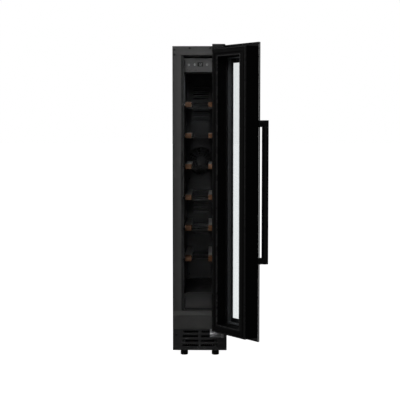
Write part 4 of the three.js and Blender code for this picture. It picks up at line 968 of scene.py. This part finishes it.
def edge_bead():
    """The rounded rim of the door body round its room side. Its section is in millimetres."""
    radius = 3.0
    inset = 2.6
    lap = 0.4
    arc = [math.radians(15 * i) for i in range(7)]
    section = [(radius * math.cos(t) - inset, radius * math.sin(t) - inset) for t in arc]
    section += [(-inset, -lap), (-lap, -lap), (-lap, -inset)]
    bm = bmesh.new()
    add_ring(bm, (BODY_LOW.x, BODY_LOW.z), (BODY_HIGH.x, BODY_HIGH.z),
             in_metres(section, start=BODY_HIGH.y), radius=0.6 * MM, steps=3)
    # The rim's paler plastic is a painted highlight line.
    new_piece("door_edge_bead", bm, "door", DOOR_BEAD_HIGHLIGHT, DOOR_PLACE)


def pane_seal():
    """The soft bead between the inner pane and the window's side walls."""
    section = [(0.2, 0.05), (-2.2, 0.05), (-2.0, 0.5), (-0.9, 1.2), (-0.3, 2.2), (0.2, 2.4)]
    bm = bmesh.new()
    add_ring(bm, WINDOW_LOW, WINDOW_HIGH, in_metres(section, start=PANE_HIGH.y), radius=0.6 * MM, steps=3)
    slot_piece("door_pane_seal", bm, "door", "gasket_rubber", DOOR_PLACE)


def bellows_gasket():
    """The magnetic seal: a barbed root, a folded bellows and a flat sealing face."""
    low, high = door_box("door_gasket")
    section = [
        (-0.2, -3.5), (-9.2, -3.5), (-9.3, -0.2), (-7.4, 0.1), (-8.3, 0.5), (-7.5, 0.9), (-8.2, 1.3),
        (-7.2, 1.68), (-4.7, 1.5), (-2.2, 1.68), (-1.2, 1.3), (-1.9, 0.9), (-1.1, 0.5), (-2.0, 0.1),
        (-0.1, -0.2)]
    bm = bmesh.new()
    add_ring(bm, (low.x, low.z), (high.x, high.z), in_metres(section, start=BODY_HIGH.y),
             radius=3.7 * MM, steps=5)
    gasket = slot_piece("door_gasket_bellows", bm, "door", "gasket_rubber", DOOR_PLACE)
    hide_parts("door_gasket")


def handle_collars():
    """A turned collar round each leg of the handle, seated on the glass."""
    low, high = door_box("handle")
    radius = (high.x - low.x) / 2
    collar = [(9.05, 0), (10.2, 0), (10.4, 0.3), (10.4, 1.3), (10.0, 1.7), (9.05, 1.7), (9.05, 0)]
    seat = GLASS_LOW.y - 0.05 * MM
    bm = bmesh.new()
    for z in (low.z + radius, high.z - radius):
        matrix = Matrix.Translation(((low.x + high.x) / 2, seat, z)) @ toward(TO_FRONT)
        add_lathe(bm, in_metres(collar), matrix, segments=40)
    slot_piece("handle_collars", bm, "door", "handle_metal", DOOR_PLACE)


def hinge_bushes():
    """Plastic sleeves where the pins enter the door's top and bottom edges."""
    ring = [(2.9, 0), (5.2, 0), (5.2, 0.18), (4.8, 0.27), (2.9, 0.27), (2.9, 0)]
    bm = bmesh.new()
    for z, way in ((BODY_HIGH.z, 1), (BODY_LOW.z, -1)):
        matrix = Matrix.Translation((0, 0, z)) @ toward((0, 0, way))
        add_lathe(bm, in_metres(ring), matrix, segments=28)
    slot_piece("hinge_bushes", bm, "door", "black_plastic", DOOR_PLACE)


# ---- dressing the carried-over CAD nodes ------------------------------------------------
# Edge radius of each rounded node, in millimetres.
ROUNDED = {
    "front_frame": 0.4, "lower_front_panel": 0.4, "toe_grille": 0.4, "control_fascia": 0.5,
    "floor_cover": 0.9, "door_frame": 0.9, "hinge_cover_top": 0.6, "hinge_bracket_bottom": 0.4,
    "hinge_bracket_top": 0.4, "door_glass_outer": 0.4, "rear_duct_cover": 0.4, "top_panel": 0.3,
    "side_panel_left": 0.3, "side_panel_right": 0.3, "rear_panel": 0.2, "electronics_box": 0.8,
    "power_inlet": 0.4, "handle": 0.8,
}
SHELF_CAP_RADIUS = 0.7 * MM


def dress_nodes():
    """Gives each CAD node its material, smooth curves and rounded edges."""
    slots = {p["node"]: p["material_slot"] for p in frame["record"]["subparts"]}
    for name, node in NODES.items():
        node.data.materials.clear()
        node.data.materials.append(OWN_LOOKS.get(name) or MATERIALS[slots[name]])
        smooth = node.modifiers.new("smooth_by_angle", "NODES")
        smooth.node_group = SMOOTHING
        if "_cap_" in name:
            soften(node, SHELF_CAP_RADIUS, 3)
        elif name in ROUNDED:
            soften(node, ROUNDED[name] * MM)


# ---- stage, lights and camera -----------------------------------------------------------
WHITE = (1, 1, 1, 1)


def area_light(name, place, target, size, power, colour=(1, 1, 1), spread=180):
    """A rectangular lamp that shines on a target and that the camera doesn't see."""
    lamp = bpy.data.lights.new(name, "AREA")
    lamp.shape = "RECTANGLE"
    lamp.size, lamp.size_y = size
    lamp.energy = power
    lamp.color = colour
    lamp.spread = math.radians(spread)
    obj = bpy.data.objects.new(name, lamp)
    obj.location = place
    obj.rotation_euler = (Vector(target) - Vector(place)).to_track_quat("-Z", "Y").to_euler()
    bpy.context.scene.collection.objects.link(obj)
    obj.visible_camera = False


def pale_floor():
    """A plain floor that neither lights the cooler nor shows in its gloss."""
    s = Shader("pale_floor")
    grain = s.noise(30.0)
    s.bsdf.inputs["Emission Color"].default_value = WHITE
    s.bsdf.inputs["Emission Strength"].default_value = 1.0
    s.finish(s.blend(grain, grey(0.5), grey(0.56)), 0.9)
    bm = bmesh.new()
    bmesh.ops.create_grid(bm, x_segments=4, y_segments=4, size=40.0)
    mesh = bpy.data.meshes.new("floor")
    bm.to_mesh(mesh)
    bm.free()
    mesh.materials.append(s.material)
    floor = bpy.data.objects.new("floor", mesh)
    floor.location = (0, 0, FLOOR)
    bpy.context.scene.collection.objects.link(floor)
    floor.visible_diffuse = False
    floor.visible_glossy = False


ROOM_LEFT = 0.14
ROOM_RIGHT = 0.03


def studio_room():
    """A dim room, brighter on the left, that the camera itself sees as white."""
    world = bpy.data.worlds.new("studio")
    world.use_nodes = True
    tree = world.node_tree
    tree.nodes.clear()
    rays = tree.nodes.new("ShaderNodeLightPath")
    coords = tree.nodes.new("ShaderNodeTexCoord")
    split = tree.nodes.new("ShaderNodeSeparateXYZ")
    ramp = tree.nodes.new("ShaderNodeMapRange")
    seen = tree.nodes.new("ShaderNodeBackground")
    room = tree.nodes.new("ShaderNodeBackground")
    mix = tree.nodes.new("ShaderNodeMixShader")
    output = tree.nodes.new("ShaderNodeOutputWorld")
    limits = {"From Min": -1.0, "From Max": 1.0, "To Min": ROOM_LEFT, "To Max": ROOM_RIGHT}
    for name, number in limits.items():
        ramp.inputs[name].default_value = number
    tree.links.new(coords.outputs["Generated"], split.inputs[0])
    tree.links.new(split.outputs["X"], ramp.inputs["Value"])
    tree.links.new(ramp.outputs["Result"], room.inputs["Strength"])
    seen.inputs["Color"].default_value = WHITE
    room.inputs["Color"].default_value = WHITE
    tree.links.new(rays.outputs["Is Camera Ray"], mix.inputs[0])
    tree.links.new(room.outputs[0], mix.inputs[1])
    tree.links.new(seen.outputs[0], mix.inputs[2])
    tree.links.new(mix.outputs[0], output.inputs["Surface"])
    bpy.context.scene.world = world
    bpy.context.scene.view_settings.view_transform = "Standard"


def studio_lamps():
    """Two softboxes, the cooler's own lamp, and a faint narrow fill into the open cavity."""
    area_light("key_softbox", place=(-0.5, -1.1, 1.45), target=(0, -0.2, 0.6), size=(0.9, 0.5), power=5.7)
    area_light("top_softbox", place=(0.1, 0.1, 1.9), target=(0, 0, 0.8), size=(1.2, 1.2), power=2.8)
    low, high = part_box("interior_light")
    under_lens = (0, (low.y + high.y) / 2, low.z - 1 * MM)
    area_light("cabinet_lamp", place=under_lens, target=(0, low.y + 10 * MM, 0),
               size=(high.x - low.x, high.y - low.y), power=0.12, colour=(0.9, 0.95, 1.0), spread=150)
    area_light("cavity_fill", place=(0.0, -1.3, 0.66), target=(0.0, -0.2, 0.42), size=(0.06, 0.8),
               power=0.026, spread=14)


CAMERA_PLACE = Vector((0.03613, -3.17017, 0.6090))
CAMERA_YAW = 0.0121
CAMERA_PITCH = math.radians(3.808)
CAMERA_LENS = 97.14


def camera():
    """The camera a little above the cooler's middle and almost square to its front."""
    data = bpy.data.cameras.new("camera")
    data.sensor_width = 36
    data.lens = CAMERA_LENS
    obj = bpy.data.objects.new("camera", data)
    ahead = Vector((-math.sin(CAMERA_YAW) * math.cos(CAMERA_PITCH),
                    math.cos(CAMERA_YAW) * math.cos(CAMERA_PITCH), -math.sin(CAMERA_PITCH)))
    obj.location = CAMERA_PLACE
    obj.rotation_euler = ahead.to_track_quat("-Z", "Y").to_euler()
    bpy.context.scene.collection.objects.link(obj)
    bpy.context.scene.camera = obj


dress_nodes()
spare_hole_plugs()
fascia_marks()
fan_guard()
duct_louvres()
cabinet_screws()
vent_hoods()
for corner in ("front_left", "front_right", "rear_left", "rear_right"):
    levelling_foot("foot_" + corner)
border_print()
window_bead()
edge_bead()
pane_seal()
bellows_gasket()
handle_collars()
hinge_bushes()
pale_floor()
studio_room()
studio_lamps()
camera()
bpy.context.view_layer.update()
